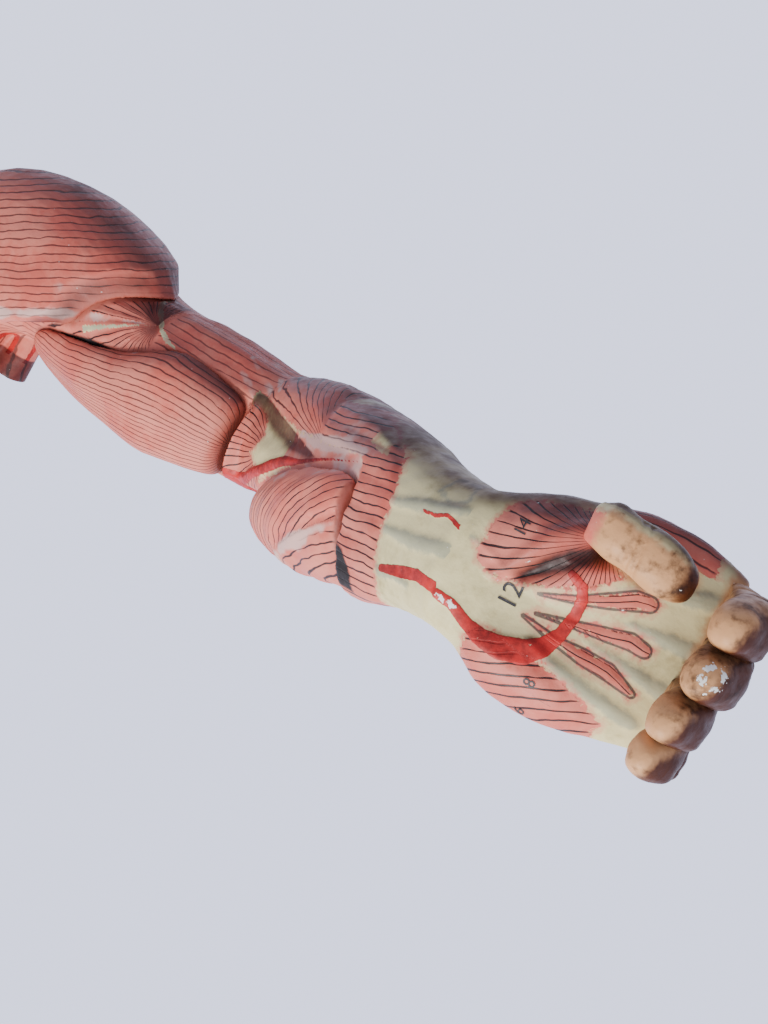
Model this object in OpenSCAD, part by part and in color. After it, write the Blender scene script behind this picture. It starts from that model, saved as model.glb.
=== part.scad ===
// Life-size muscle teaching model of a left human arm, from the shoulder to the curled fingers.
// Millimetres, +Z up, +X lateral, -Y palmar. The arm hangs from the stud in its shoulder plate,
// and the origin is the centre of that stud on the plate's outer face.

/* [Arm] */
// Length from the shoulder joint to the elbow joint
upper_arm_length = 306; // [296:1:316]
// Length from the elbow joint to the wrist
forearm_length = 243; // [236:1:250]
// Length from the wrist to the row of knuckles
palm_length = 103; // [99:1:107]
// Bend of the elbow, forwards
elbow_flexion = 43; // [38:1:46]
// Bend of the wrist, backwards from the forearm's line
wrist_extension = 43; // [38:1:46]
// Outward slant of the forearm
carrying_angle = 9.5; // [7:0.5:12]

/* [Removable muscles] */
// Thickness of the deltoid cap
deltoid_thickness = 17; // [14:0.5:18]
// Gap between a removable muscle and its bed
bed_gap = 0.6; // [0.4:0.1:1]
// Radius of the locating pins
pin_r = 3; // [2.5:0.1:3.5]
// Radial clearance of a pin in its socket
pin_clearance = 0.05; // [0.03:0.01:0.1]
// Wall of the socket tubes
socket_wall = 1.4; // [1.2:0.1:1.6]

/* [Shoulder fitting] */
// Radius of the mounting stud's free end
stud_r = 5; // [4:0.5:5.5]
// Free length of the stud outside the plate
stud_length = 30; // [20:1:40]
// Radius of the shoulder plate
plate_r = 32; // [28:1:34]
// Thickness of the shoulder plate
plate_t = 5; // [4:0.5:6]
// Radius of the circle that the plate's screws lie on
screw_circle_r = 22; // [20:1:24]

/* [Hidden] */
$fn = 48;

muscle_pink = [0.80, 0.47, 0.43];
tendon_cream = [0.80, 0.79, 0.68];
skin_tan = [0.80, 0.64, 0.49];

ring_sides = 32;
finger_sides = 20;
squareness = 0.86;
// Height of a belly's back over its bed's gap, which keeps the back's points apart
flat_back = 0.01;
// Beds are cut only into rings that start below this height
bed_top = -20;
cut_x = -100;
cut_y = 2;
cut_z = -13;
origin = [plate_t - cut_x, -cut_y, -cut_z];
hole_gap = 0.05;
socket_r = pin_r + pin_clearance + socket_wall;
socket_depth = 16;
pin_reach = 13;
pin_hold = 9;
// How far below its bed a socket's mouth lies, more where the bed slants across the pins
mouth_depth = 3.2;
slanted_mouth_depth = 5.5;
stud_anchor_r = stud_r + 1;
stud_anchor_length = 55;
chamfer = 1;
screw_r = 2;
screw_length = 24;
screw_head_r = 4;
humerus_rod_r = 5;
forearm_rod_r = 4;
wire_r = 1.2;

// Scale of each limb's own lengths against the lengths that the tables are drawn for
upper_scale = upper_arm_length / 306;
fore_scale = forearm_length / 243;
palm_scale = palm_length / 103;

// ---- Limb frames: each is [origin, lateral axis, back axis, axis up the limb]
function limb_frame(o, flexion, slant) = [
    o,
    [cos(slant), 0, sin(slant)],
    [sin(flexion) * sin(slant), cos(flexion), -sin(flexion) * cos(slant)],
    [-cos(flexion) * sin(slant), sin(flexion), cos(flexion) * cos(slant)]
];
function in_frame(f, p) = f[0] + p[0] * f[1] + p[1] * f[2] + p[2] * f[3];
function turn_in_frame(f, v) = v[0] * f[1] + v[1] * f[2] + v[2] * f[3];

hand_flexion = elbow_flexion - wrist_extension;
arm = limb_frame([0, 0, 0], 0, 0);
elbow_point = [0, 0, -upper_arm_length];
elbow_plane = limb_frame(elbow_point, elbow_flexion / 2, carrying_angle / 2);
forearm = limb_frame(elbow_point, elbow_flexion, carrying_angle);
wrist_point = in_frame(forearm, [0, 0, -forearm_length]);
wrist_plane = limb_frame(wrist_point, (elbow_flexion + hand_flexion) / 2, carrying_angle);
hand = limb_frame(wrist_point, hand_flexion, carrying_angle);

// ---- Sections: closed rings of points round a limb, lateral side first, then the back
function signed_power(v, p) = sign(v) * pow(abs(v), p);
function section(lateral, medial, front, back, sides = ring_sides) = [
    for (k = [0 : sides - 1])
        let (a = 360 * k / sides, c = cos(a), s = sin(a))
        [
            (c >= 0 ? lateral : medial) * signed_power(c, squareness),
            (s >= 0 ? back : front) * signed_power(s, squareness)
        ]
];
function place_ring(f, z, points, y_mid = 0) =
    [for (p = points) in_frame(f, [p[0], p[1] + y_mid, z])];

// ---- Beds that the removable muscles lie on: ruled surfaces along a limb.
// A bed's rows are [z, angle that it faces from the front towards the medial side, depth].
function bed_normal(bed, z) = let (a = table_value(bed, -z)) [-sin(a), -cos(a)];
function bed_way(bed, z) = let (a = table_value(bed, -z)) [cos(a), -sin(a)];
function bed_depth(bed, z) = table_value(bed, -z, 2);
// Moves the points beyond a bed back onto it. Points are [x, y, z] in the limb's frame.
function lay_on_bed(bed, points) = [
    for (p = points)
        let (
            n = bed_normal(bed, p[2]),
            over = n * [p[0], p[1]] - bed_depth(bed, p[2])
        )
        [p[0] - max(0, over) * n[0], p[1] - max(0, over) * n[1], p[2]]
];
// A point that stands a height over a bed, at a distance across it
function over_bed(bed, z, across, height) =
    let (q = across * bed_way(bed, z) + (bed_depth(bed, z) + height) * bed_normal(bed, z))
    [q[0], q[1], z];
// A muscle's D section on its bed. A row is [z, medial edge, lateral edge, height, slope],
// and the slope tilts the section across the bed.
function belly_section(bed, row, z_scale) =
    let (mid = (row[1] + row[2]) / 2, half = (row[2] - row[1]) / 2)
    [
        for (p = section(half, half, row[3], flat_back))
            over_bed(bed, z_scale * (row[0] + row[4] * (mid + p[0])), mid + p[0], bed_gap - p[1])
    ];

// ---- Smooth surfaces through rings
function blend_rings(r, i, t) =
    let (
        last = len(r) - 1,
        a = r[max(i - 1, 0)],
        b = r[i],
        c = r[i + 1],
        d = r[min(i + 2, last)]
    )
    0.5 * (2 * b + t * (c - a) + t * t * (2 * a - 5 * b + 4 * c - d)
        + t * t * t * (3 * b - a - 3 * c + d));
function refine(r, steps) = concat(
    [for (i = [0 : len(r) - 2]) for (j = [0 : steps - 1]) blend_rings(r, i, j / steps)],
    [r[len(r) - 1]]
);
function table_value(t, x, column = 1) =
    x <= t[0][0] ? t[0][column]
    : x >= t[len(t) - 1][0] ? t[len(t) - 1][column]
    : let (i = [for (k = [0 : len(t) - 2]) if (x >= t[k][0] && x < t[k + 1][0]) k][0])
        t[i][column] + (t[i + 1][column] - t[i][column]) * (x - t[i][0]) / (t[i + 1][0] - t[i][0]);

module loft(rings) {
    n = len(rings[0]);
    m = len(rings);
    points = [for (r = rings) each r];
    walls = [
        for (i = [0 : m - 2]) for (j = [0 : n - 1])
            let (a = i * n + j, b = i * n + (j + 1) % n)
            each [[a, b, b + n], [a, b + n, a + n]]
    ];
    first = [for (j = [n - 1 : -1 : 0]) j];
    last = [for (j = [0 : n - 1]) (m - 1) * n + j];
    polyhedron(points = points, faces = concat(walls, [first], [last]), convexity = 6);
}

module along(start, direction) {
    translate(start)
        rotate([0, acos(direction[2] / norm(direction)), atan2(direction[1], direction[0])])
            children();
}

// ---- Upper arm: ribs from the shoulder's cut face round to the elbow.
// Each is [outer x, outer z, inner x, inner z, front depth, back depth].
arm_ribs = [
    [cut_x, 26, cut_x, -60, 40, 38],
    [-62, 26, -74, -63, 42, 40],
    [-39, 21, -67, -68, 43, 42],
    [-13, 10, -63, -76, 43, 42],
    [10, -7, -60, -86, 43, 42],
    [29, -32, -59, -98, 43, 42],
    [39, -63, -59, -114, 43, 42],
    [41, -104, -60, -135, 43, 42],
    [33, -146, -64, -159, 43, 42],
    [27, -172, -66, -178, 43, 42],
    [27, -196, -66, -198, 43, 43],
    [31, -222, -64, -222, 42, 42],
    [33, -250, -58, -250, 41, 40],
    [33, -268, -55, -268, 40, 38],
    [33, -285, -52, -285, 40, 38],
    [33, -287, -52, -287, 41, 38]
];
last_bed_rib = len(arm_ribs) - 2;
// Bed of the biceps, by distance below the shoulder joint
biceps_bed = [
    [100, 50, 53], [122, 49, 51], [147, 48, 48.6], [165, 45, 47.6], [180, 40, 45.4],
    [195, 35, 42], [210, 30, 38], [225, 26, 34.2], [240, 23.6, 32], [254, 23, 31.2], [285, 22, 31]
];
function arm_rib(r) =
    let (
        outer = [r[0], 0, r[1] * (r[1] < 0 ? upper_scale : 1)],
        inner = [r[2], 0, r[3] * (r[3] < -100 ? upper_scale : 1)],
        half = norm(outer - inner) / 2,
        e = (outer - inner) / (2 * half),
        mid = (outer + inner) / 2
    )
    [for (p = section(half, half, r[4], r[5])) mid + p[0] * e + [0, p[1], 0]];
elbow_ring = place_ring(elbow_plane, 0, section(38, 48, 40, 36));
// The bed ends at a sharp step, so the rings before and after the step are smoothed apart
arm_surface = concat(
    [
        for (ring = refine([for (i = [0 : last_bed_rib]) arm_rib(arm_ribs[i])], 3))
            ring[0][2] > bed_top ? ring : lay_on_bed(biceps_bed, ring)
    ],
    refine([arm_rib(arm_ribs[last_bed_rib + 1]), elbow_ring], 2)
);

// Cut stub of the muscles that pass behind the armpit, out to the shoulder's cut face:
// rows of [x, middle z, half height, middle y, half thickness]
stub_rows = [
    [-52, -70, 13, 14, 8], [-68, -69, 14, 15, 10], [-84, -66, 16, 16, 12], [cut_x, -63, 18, 17, 14]
];
stub_sides = 24;
stub_surface = [
    for (r = stub_rows)
        [for (p = section(r[2], r[2], r[4], r[4], stub_sides)) [r[0], r[3] + p[1], r[1] - p[0]]]
];

// ---- Biceps: rows as belly_section takes them
biceps_rows = [
    [-106, -31, -15, 3, 0],
    [-109, -34, -9, 6, 0],
    [-122, -38.5, 1, 10.5, 0],
    [-147, -45, 8, 17, 0],
    [-165, -46, 11, 20, 0],
    [-190, -50, 12, 24, 0],
    [-212, -56, 20, 29, 0],
    [-229, -58, 24, 31, 0],
    [-254, -52, 21, 28, 0],
    [-270, -47, 19, 24, 0],
    [-279, -43, 16, 20, 0],
    [-283, -38, 11, 14, 0]
];
biceps_way = [0, -1, 0];
biceps_pin_points = [
    for (place = [[-150, -16], [-238, -18]])
        in_frame(arm, over_bed(biceps_bed, place[0] * upper_scale, place[1], 0))
];

// ---- Deltoid: a thick cap over the outer ribs, from the top down to a free rim.
// The rim's rows are [angle round the rib, rib number that the rim reaches].
deltoid_way = [0.70, -0.60, 0.388];
deltoid_first_rib = 0.5;
deltoid_angles = [-136, 40];
deltoid_columns = 26;
deltoid_rows = 18;
rim_share = 0.12;
side_share = 0.08;
rim_t = 2;
deltoid_rim = [
    [-136, 4.6], [-128, 5.6], [-116, 6.8], [-101, 7.6], [-80, 8.0], [-68, 8.3], [-45, 8.95],
    [-28, 9.35], [-12, 9.45], [10, 8.8], [40, 7.2]
];
function rib_at(s) =
    let (i = min(floor(s), len(arm_ribs) - 2))
    blend_rings(arm_ribs, i, s - i);
function cap_point(s, angle, t) =
    let (
        r = rib_at(s),
        outer = [r[0], 0, r[1]],
        inner = [r[2], 0, r[3]],
        half = norm(outer - inner) / 2 + t,
        e = (outer - inner) / norm(outer - inner),
        mid = (outer + inner) / 2,
        c = cos(angle),
        y = sin(angle)
    )
    mid + half * signed_power(c, squareness) * e
        + [0, ((y >= 0 ? r[5] : r[4]) + t) * signed_power(y, squareness), 0];
function rim_shape(u, share) = let (k = min(u / share, 1)) sqrt(1 - pow(1 - k, 2));
function cap_grid(outside) = [
    for (i = [0 : deltoid_columns])
        let (
            u = i / deltoid_columns,
            angle = deltoid_angles[0] + (deltoid_angles[1] - deltoid_angles[0]) * u,
            end = table_value(deltoid_rim, angle)
        )
        for (j = [0 : deltoid_rows])
            let (
                v = j / deltoid_rows,
                swell = min(
                    rim_shape(min(u, 1 - u), side_share), rim_shape(min(v, 1 - v), rim_share)
                ),
                t = bed_gap + (outside ? rim_t + (deltoid_thickness - rim_t) * swell : 0)
            )
            cap_point(deltoid_first_rib + (end - deltoid_first_rib) * v, angle, t)
];
deltoid_pin_points = [[21, -27, -34], [25, -27, -106]];

// ---- Forearm: rows of [z, lateral, medial, front, back]
forearm_rows = [
    [-26, 39, 51, 37, 34],
    [-50, 43, 55, 37, 34],
    [-75, 45, 57, 36, 33],
    [-100, 44, 58, 35, 32],
    [-125, 43, 56, 34, 31],
    [-150, 41, 55, 32, 30],
    [-171, 39, 51, 30, 28],
    [-173.5, 39, 51, 30, 28],
    [-190, 36, 46, 27, 26],
    [-208, 34, 40, 24.5, 24.5],
    [-228, 33, 36, 22, 23]
];
last_bed_row = 6;
// Bed of the flexor group, by distance below the elbow joint
flexor_bed = [
    [20, 80, 44], [35, 79.5, 43], [48, 76, 41.6], [60, 66.5, 39], [72, 57.5, 36.4],
    [86, 50.5, 33.8], [105, 44, 30.8], [122, 39.5, 28], [140, 35, 25.6], [155, 31, 24],
    [171, 27, 23]
];
function forearm_ring(r) = [for (p = section(r[1], r[2], r[3], r[4])) [p[0], p[1], r[0] * fore_scale]];
function to_world(f, rings) = [for (ring = rings) [for (p = ring) in_frame(f, p)]];
elbow_in_forearm = [
    for (p = elbow_ring)
        [(p - elbow_point) * forearm[1], (p - elbow_point) * forearm[2], (p - elbow_point) * forearm[3]]
];
wrist_ring = place_ring(wrist_plane, 0, section(33, 34, 21, 22));
forearm_upper = refine(
    concat([elbow_in_forearm], [for (i = [0 : last_bed_row]) forearm_ring(forearm_rows[i])]), 4
);
forearm_lower = [for (i = [last_bed_row + 1 : len(forearm_rows) - 1]) forearm_ring(forearm_rows[i])];
forearm_surface = concat(
    [elbow_ring],
    to_world(
        forearm, [for (i = [1 : len(forearm_upper) - 1]) lay_on_bed(flexor_bed, forearm_upper[i])]
    ),
    refine(concat(to_world(forearm, forearm_lower), [wrist_ring]), 2)
);

// ---- Flexor group: rows as belly_section takes them
flexor_rows = [
    [-20, -10, 2, 4, 0],
    [-24, -20, 8, 11, 0],
    [-42, -27, 13, 19, 0],
    [-58, -33, 14.5, 24, 0],
    [-75, -39, 15.5, 27, 0],
    [-105, -46, 18.5, 28, 0],
    [-125, -46, 21, 25, 0],
    [-150, -44, 22, 19.5, 0],
    [-163, -41.5, 21, 14.6, 0],
    [-168.5, -39, 19, 12.4, 0],
    [-170, -36, 16, 10, 0]
];
flexor_way = turn_in_frame(forearm, [-0.82, -0.572, 0]);
flexor_pin_points = [
    for (place = [[-68, -11], [-130, -12]])
        in_frame(forearm, over_bed(flexor_bed, place[0] * fore_scale, place[1], 0))
];

// ---- Palm: rows of [z, thumb side, little finger side, front, back, thenar, hypothenar].
// The last two are how far those two pads swell from the palm.
palm_rows = [
    [-12, 38, 37, 19, 20, 3, 2],
    [-26, 44, 45, 17, 19, 9, 7],
    [-44, 48, 49, 16, 18, 13, 9],
    [-62, 52, 48, 15, 17, 8, 8],
    [-80, 52, 44, 14, 16, 2, 4],
    [-98, 48, 40, 13, 15, 0, 1],
    [-109, 43, 37, 12, 14, 0, 0]
];
thenar_x = 26;
thenar_w = 17;
hypothenar_x = -30;
hypothenar_w = 17;
function pad(x, centre, width) = exp(-pow((x - centre) / width, 2));
function palm_section(r) = [
    for (p = section(r[1], r[2], r[3], r[4]))
        [
            p[0],
            p[1] - (p[1] < 0 ? r[5] * pad(p[0], thenar_x, thenar_w)
                + r[6] * pad(p[0], hypothenar_x, hypothenar_w) : 0)
        ]
];
palm_rings = [for (r = palm_rows) place_ring(hand, r[0] * palm_scale, palm_section(r))];
palm_surface = refine(concat([wrist_ring], palm_rings), 2);

// ---- Digits: rows of [across, front, along, half width, half height, bend] from base to tip,
// in the hand's frame. The bend turns the section about the hand's lateral axis.
function digit_ring(r) =
    let (
        f = hand,
        up = [0, cos(r[5]), -sin(r[5])]
    )
    [
        for (p = section(r[3], r[3], r[4], r[4], finger_sides))
            in_frame(f, [r[0] + p[0], -r[1] + p[1] * up[1], -r[2] * palm_scale + p[1] * up[2]])
    ];
// Path of a finger's middle line, from the knuckle: [front, along, half width, half height, bend]
finger_path = [
    [1, 0, 1.0, 1.15, 15],
    [8, 5, 0.98, 1.06, 42],
    [17, 8, 0.94, 1.0, 66],
    [26, 9, 1.0, 1.02, 86],
    [34, 7.6, 0.95, 0.97, 102],
    [41, 5, 0.98, 0.97, 116],
    [46.6, 2.2, 0.88, 0.86, 124],
    [50.2, 0.1, 0.6, 0.56, 128],
    [51.4, -0.7, 0.25, 0.22, 128]
];
module digit(x, drift, knuckle, r, reach) {
    rows = [
        for (i = [0 : len(finger_path) - 1])
            let (p = finger_path[i], t = i / (len(finger_path) - 1))
            [x + drift * t, p[0] * reach, knuckle + p[1], r * p[2], r * p[3], p[4]]
    ];
    loft(refine([for (row = rows) digit_ring(row)], 2));
}
thumb_rows = [
    [41, 23, 44, 9, 8, 0],
    [41.5, 25.5, 50, 11.5, 10.6, 0],
    [40.5, 27.5, 58, 12, 11, 0],
    [38.5, 29, 67, 11.6, 10, 0],
    [36, 29.5, 77, 11.2, 9.6, 0],
    [34, 29, 85, 9.2, 7.8, 0],
    [33, 28.6, 89.6, 5.6, 4.6, 0],
    [32.8, 28.4, 91, 2.2, 2, 0]
];

// ---- Pins and sockets: a pin starts inside its muscle and ends in its socket
module pins(points, direction) {
    for (p = points)
        along(p - pin_reach * direction, direction)
            cylinder(r = pin_r, h = pin_reach + pin_hold);
}
module sockets(points, direction, depth) {
    for (p = points)
        along(p - socket_depth * direction, direction)
            difference() {
                cylinder(r = socket_r, h = socket_depth - depth);
                translate([0, 0, 1])
                    cylinder(r = pin_r + pin_clearance, h = socket_depth);
            }
}
module socket_holes(points, direction) {
    for (p = points)
        along(p - (socket_depth + hole_gap) * direction, direction)
            cylinder(r = socket_r + hole_gap, h = 2 * socket_depth);
}

module in_place() {
    translate(origin) children();
}

// ---- Castings
module upper_arm_core() {
    color(muscle_pink) in_place() difference() {
        union() {
            loft(arm_surface);
            loft(stub_surface);
        }
        socket_holes(deltoid_pin_points, deltoid_way);
        socket_holes(biceps_pin_points, biceps_way);
    }
}
module forearm_core() {
    color(tendon_cream) in_place() difference() {
        loft(forearm_surface);
        socket_holes(flexor_pin_points, flexor_way);
    }
}
module palm() {
    color(tendon_cream) in_place() loft(palm_surface);
}
module thumb() {
    color(skin_tan) in_place() loft(refine([for (r = thumb_rows) digit_ring(r)], 2));
}
module index_finger() {
    color(skin_tan) in_place() digit(30.4, -4.4, 105, 9.8, 1);
}
module middle_finger() {
    color(skin_tan) in_place() digit(9.6, -4.2, 104, 9.9, 1);
}
module ring_finger() {
    color(skin_tan) in_place() digit(-10.6, -4.4, 100, 9.4, 0.98);
}
module little_finger() {
    color(skin_tan) in_place() digit(-28.6, -2.6, 99, 7.9, 0.86);
}

// ---- Removable muscles
module deltoid() {
    rows = deltoid_rows + 1;
    count = (deltoid_columns + 1) * rows;
    function at(i, j) = i * rows + j;
    outer = [
        for (i = [0 : deltoid_columns - 1]) for (j = [0 : deltoid_rows - 1])
            each [
                [at(i, j), at(i + 1, j + 1), at(i, j + 1)],
                [at(i, j), at(i + 1, j), at(i + 1, j + 1)]
            ]
    ];
    edge = concat(
        [for (j = [0 : deltoid_rows - 1]) at(0, j)],
        [for (i = [0 : deltoid_columns - 1]) at(i, deltoid_rows)],
        [for (j = [deltoid_rows : -1 : 1]) at(deltoid_columns, j)],
        [for (i = [deltoid_columns : -1 : 1]) at(i, 0)]
    );
    inner = [for (f = outer) [f[2] + count, f[1] + count, f[0] + count]];
    walls = [
        for (k = [0 : len(edge) - 1])
            let (a = edge[k], b = edge[(k + 1) % len(edge)])
            each [[a, b, a + count], [b, b + count, a + count]]
    ];
    color(muscle_pink) in_place()
        polyhedron(
            points = concat(cap_grid(true), cap_grid(false)),
            faces = concat(outer, inner, walls), convexity = 6
        );
}
module biceps() {
    color(muscle_pink) in_place() loft(to_world(
        arm, [for (r = refine(biceps_rows, 2)) belly_section(biceps_bed, r, upper_scale)]
    ));
}
module flexor_group() {
    color(muscle_pink) in_place() loft(to_world(
        forearm, [for (r = refine(flexor_rows, 2)) belly_section(flexor_bed, r, fore_scale)]
    ));
}

// ---- Metal inside the castings
module deltoid_pins() {
    color("goldenrod") in_place() pins(deltoid_pin_points, deltoid_way);
}
module biceps_pins() {
    color("goldenrod") in_place() pins(biceps_pin_points, biceps_way);
}
module flexor_pins() {
    color("goldenrod") in_place() pins(flexor_pin_points, flexor_way);
}
module deltoid_sockets() {
    color("goldenrod") in_place() sockets(deltoid_pin_points, deltoid_way, mouth_depth);
}
module biceps_sockets() {
    color("goldenrod") in_place() sockets(biceps_pin_points, biceps_way, slanted_mouth_depth);
}
module flexor_sockets() {
    color("goldenrod") in_place() sockets(flexor_pin_points, flexor_way, mouth_depth);
}
module rod(start, end, r) {
    in_place() along(start, end - start) cylinder(r = r, h = norm(end - start));
}
module humerus_rod() {
    color("gray") rod([-14, 12, -40], [-8, 10, -285], humerus_rod_r);
}
module radius_rod() {
    color("gray")
        rod(in_frame(forearm, [14, 8, -28]), in_frame(forearm, [10, 4, -225]), forearm_rod_r);
}
module ulna_rod() {
    color("gray")
        rod(in_frame(forearm, [-8, 10, -28]), in_frame(forearm, [-10, 4, -225]), forearm_rod_r);
}
module wire(points) {
    in_place() for (i = [0 : len(points) - 2])
        along(in_frame(hand, points[i]), in_frame(hand, points[i + 1]) - in_frame(hand, points[i]))
            cylinder(r = wire_r, h = norm(in_frame(hand, points[i + 1]) - in_frame(hand, points[i])));
}
module finger_wires() {
    color("gray") {
        wire([[26, 0, -60], [28, -8, -103]]);
        wire([[9, 0, -60], [9, -8, -105]]);
        wire([[-9, 0, -60], [-11, -8, -103]]);
        wire([[-24, 0, -60], [-29, -8, -98]]);
    }
}
module thumb_wire() {
    color("gray") wire([[28, -12, -20], [40, -26, -60]]);
}

// ---- Shoulder fitting: a plate on the cut face, its screws and the stud
module on_cut_face(x) {
    translate([x, 0, 0]) rotate([0, 90, 0]) children();
}
module screw_places() {
    for (a = [45 : 90 : 315]) rotate([0, 0, a]) translate([screw_circle_r, 0, 0]) children();
}
module shoulder_plate() {
    color("silver") on_cut_face(0) difference() {
        cylinder(r = plate_r, h = plate_t);
        translate([0, 0, -1]) cylinder(r = stud_anchor_r + hole_gap, h = plate_t + 2);
        screw_places() {
            translate([0, 0, -1]) cylinder(r = screw_r + hole_gap, h = plate_t + 2);
            translate([0, 0, -1]) cylinder(r = screw_head_r + hole_gap, h = 1 + plate_t / 2);
        }
    }
}
module shoulder_stud() {
    color("silver") {
        on_cut_face(0) cylinder(r = stud_anchor_r, h = stud_anchor_length);
        on_cut_face(-stud_length + chamfer) cylinder(r = stud_r, h = stud_length - chamfer);
        on_cut_face(-stud_length) cylinder(r1 = stud_r - chamfer, r2 = stud_r, h = chamfer);
    }
}
module plate_screws() {
    color("silver") on_cut_face(0) screw_places() {
        translate([0, 0, hole_gap]) cylinder(r = screw_head_r, h = plate_t / 2 - hole_gap);
        translate([0, 0, plate_t / 2]) cylinder(r = screw_r, h = screw_length);
    }
}

upper_arm_core();
forearm_core();
palm();
thumb();
index_finger();
middle_finger();
ring_finger();
little_finger();
deltoid();
biceps();
flexor_group();
deltoid_pins();
biceps_pins();
flexor_pins();
deltoid_sockets();
biceps_sockets();
flexor_sockets();
humerus_rod();
radius_rod();
ulna_rod();
finger_wires();
thumb_wire();
shoulder_plate();
shoulder_stud();
plate_screws();
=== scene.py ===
"""Painted plaster teaching model of a left arm: its castings, lift-off muscles and fittings.

Lengths are in metres in the model's own frame. Places of painted and moulded features are given
in millimetres in the frame of the limb that carries them: x is lateral, y is towards the back
and z is up the limb, from the shoulder, the elbow or the wrist.
"""

import logging
import math
from dataclasses import dataclass, field
from enum import Enum
from typing import Callable, Sequence

import bmesh
import bpy
import numpy as np
from mathutils import Matrix, Vector
from mathutils.bvhtree import BVHTree


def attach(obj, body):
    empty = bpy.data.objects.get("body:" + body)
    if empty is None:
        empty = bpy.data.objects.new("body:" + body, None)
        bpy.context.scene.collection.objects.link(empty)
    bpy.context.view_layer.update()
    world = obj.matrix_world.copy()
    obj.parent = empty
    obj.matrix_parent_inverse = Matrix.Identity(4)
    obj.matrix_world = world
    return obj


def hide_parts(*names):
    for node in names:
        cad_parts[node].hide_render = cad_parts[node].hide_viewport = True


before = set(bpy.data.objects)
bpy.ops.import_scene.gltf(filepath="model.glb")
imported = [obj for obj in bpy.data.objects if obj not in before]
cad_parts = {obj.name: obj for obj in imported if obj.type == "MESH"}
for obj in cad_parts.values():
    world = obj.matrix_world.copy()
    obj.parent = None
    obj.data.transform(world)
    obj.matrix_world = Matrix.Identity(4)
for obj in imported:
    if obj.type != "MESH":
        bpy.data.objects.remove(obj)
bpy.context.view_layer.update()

LOG = logging.getLogger("arm_model")
MM = 0.001
Colour = tuple[float, float, float]
Places = Sequence[tuple[float, float]]
REMOVABLE = ("deltoid", "biceps", "flexor_group")
BARE = -30.0  # how far outside an area a point counts, in millimetres, where nothing is painted
WELD = 0.00002  # points closer than this are one
SEAM = 0.00005  # how far a seam's faces and points may be off its plane


def srgb(red: int, green: int, blue: int) -> Colour:
    """Turns a paint colour on the 0 to 255 scale into scene-linear values."""
    return tuple(
        (c / 255 / 12.92) if c <= 10 else ((c / 255 + 0.055) / 1.055) ** 2.4 for c in (red, green, blue)
    )


def smooth(low: float, high: float, value: np.ndarray) -> np.ndarray:
    """Rises smoothly from 0 at low to 1 at high."""
    t = np.clip((value - low) / (high - low), 0.0, 1.0)
    return t * t * (3.0 - 2.0 * t)


def bump(value: np.ndarray, centre: float, width: float) -> np.ndarray:
    """A rounded hump of height 1."""
    return np.exp(-(((value - centre) / width) ** 2))


# --------------------------------------------------------------------------- limbs


@dataclass(frozen=True)
class Limb:
    """A limb's frame: its joint's place and its lateral, back and up axes as rows."""

    joint: np.ndarray
    axes: np.ndarray

    @classmethod
    def hung(cls, joint: np.ndarray, flexion: float, slant: float) -> "Limb":
        """Makes the frame of a limb that hangs from a joint, bent forwards and slanted outwards.

        Args:
            joint: place of the joint in the model's frame, in metres.
            flexion: forward bend in degrees.
            slant: outward slant in degrees.

        Returns:
            The limb's frame.
        """
        f, s = math.radians(flexion), math.radians(slant)
        axes = np.array(
            [
                [math.cos(s), 0.0, math.sin(s)],
                [math.sin(f) * math.sin(s), math.cos(f), -math.sin(f) * math.cos(s)],
                [-math.cos(f) * math.sin(s), math.sin(f), math.cos(f) * math.cos(s)],
            ]
        )
        return cls(joint, axes)

    def local(self, points: np.ndarray) -> np.ndarray:
        """Gives points of the model's frame in this limb's frame, in millimetres."""
        return (points - self.joint) @ self.axes.T / MM

    def turned(self, directions: np.ndarray) -> np.ndarray:
        """Gives directions of the model's frame in this limb's frame."""
        return directions @ self.axes.T

    def world(self, place: Sequence[float]) -> np.ndarray:
        """Gives a place in this limb, in millimetres, in the model's frame."""
        return self.joint + np.asarray(place, float) * MM @ self.axes


@dataclass(frozen=True)
class ArmMeasures:
    """Lengths and angles of the arm, as in the part's own source."""

    shoulder: tuple[float, float, float] = (0.105, -0.002, 0.013)
    upper_arm: float = 0.306
    forearm: float = 0.243
    elbow_flexion: float = 43.0
    wrist_extension: float = 43.0
    carrying_angle: float = 9.5


class Limbs:
    """The frames of the upper arm, the forearm and the hand."""

    def __init__(self, measures: ArmMeasures) -> None:
        """Hangs the three limbs from one another."""
        self.arm = Limb.hung(np.array(measures.shoulder), 0.0, 0.0)
        elbow = self.arm.joint - measures.upper_arm * self.arm.axes[2]
        self.forearm = Limb.hung(elbow, measures.elbow_flexion, measures.carrying_angle)
        wrist = elbow - measures.forearm * self.forearm.axes[2]
        self.hand = Limb.hung(
            wrist, measures.elbow_flexion - measures.wrist_extension, measures.carrying_angle
        )
        self.elbow_normal = self._between(self.arm, self.forearm)
        self.wrist_normal = self._between(self.forearm, self.hand)

    @staticmethod
    def _between(upper: Limb, lower: Limb) -> np.ndarray:
        """Gives the unit normal of the plane midway between two limbs."""
        up = upper.axes[2] + lower.axes[2]
        return up / np.linalg.norm(up)


# --------------------------------------------------------------------------- painted shapes


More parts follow.
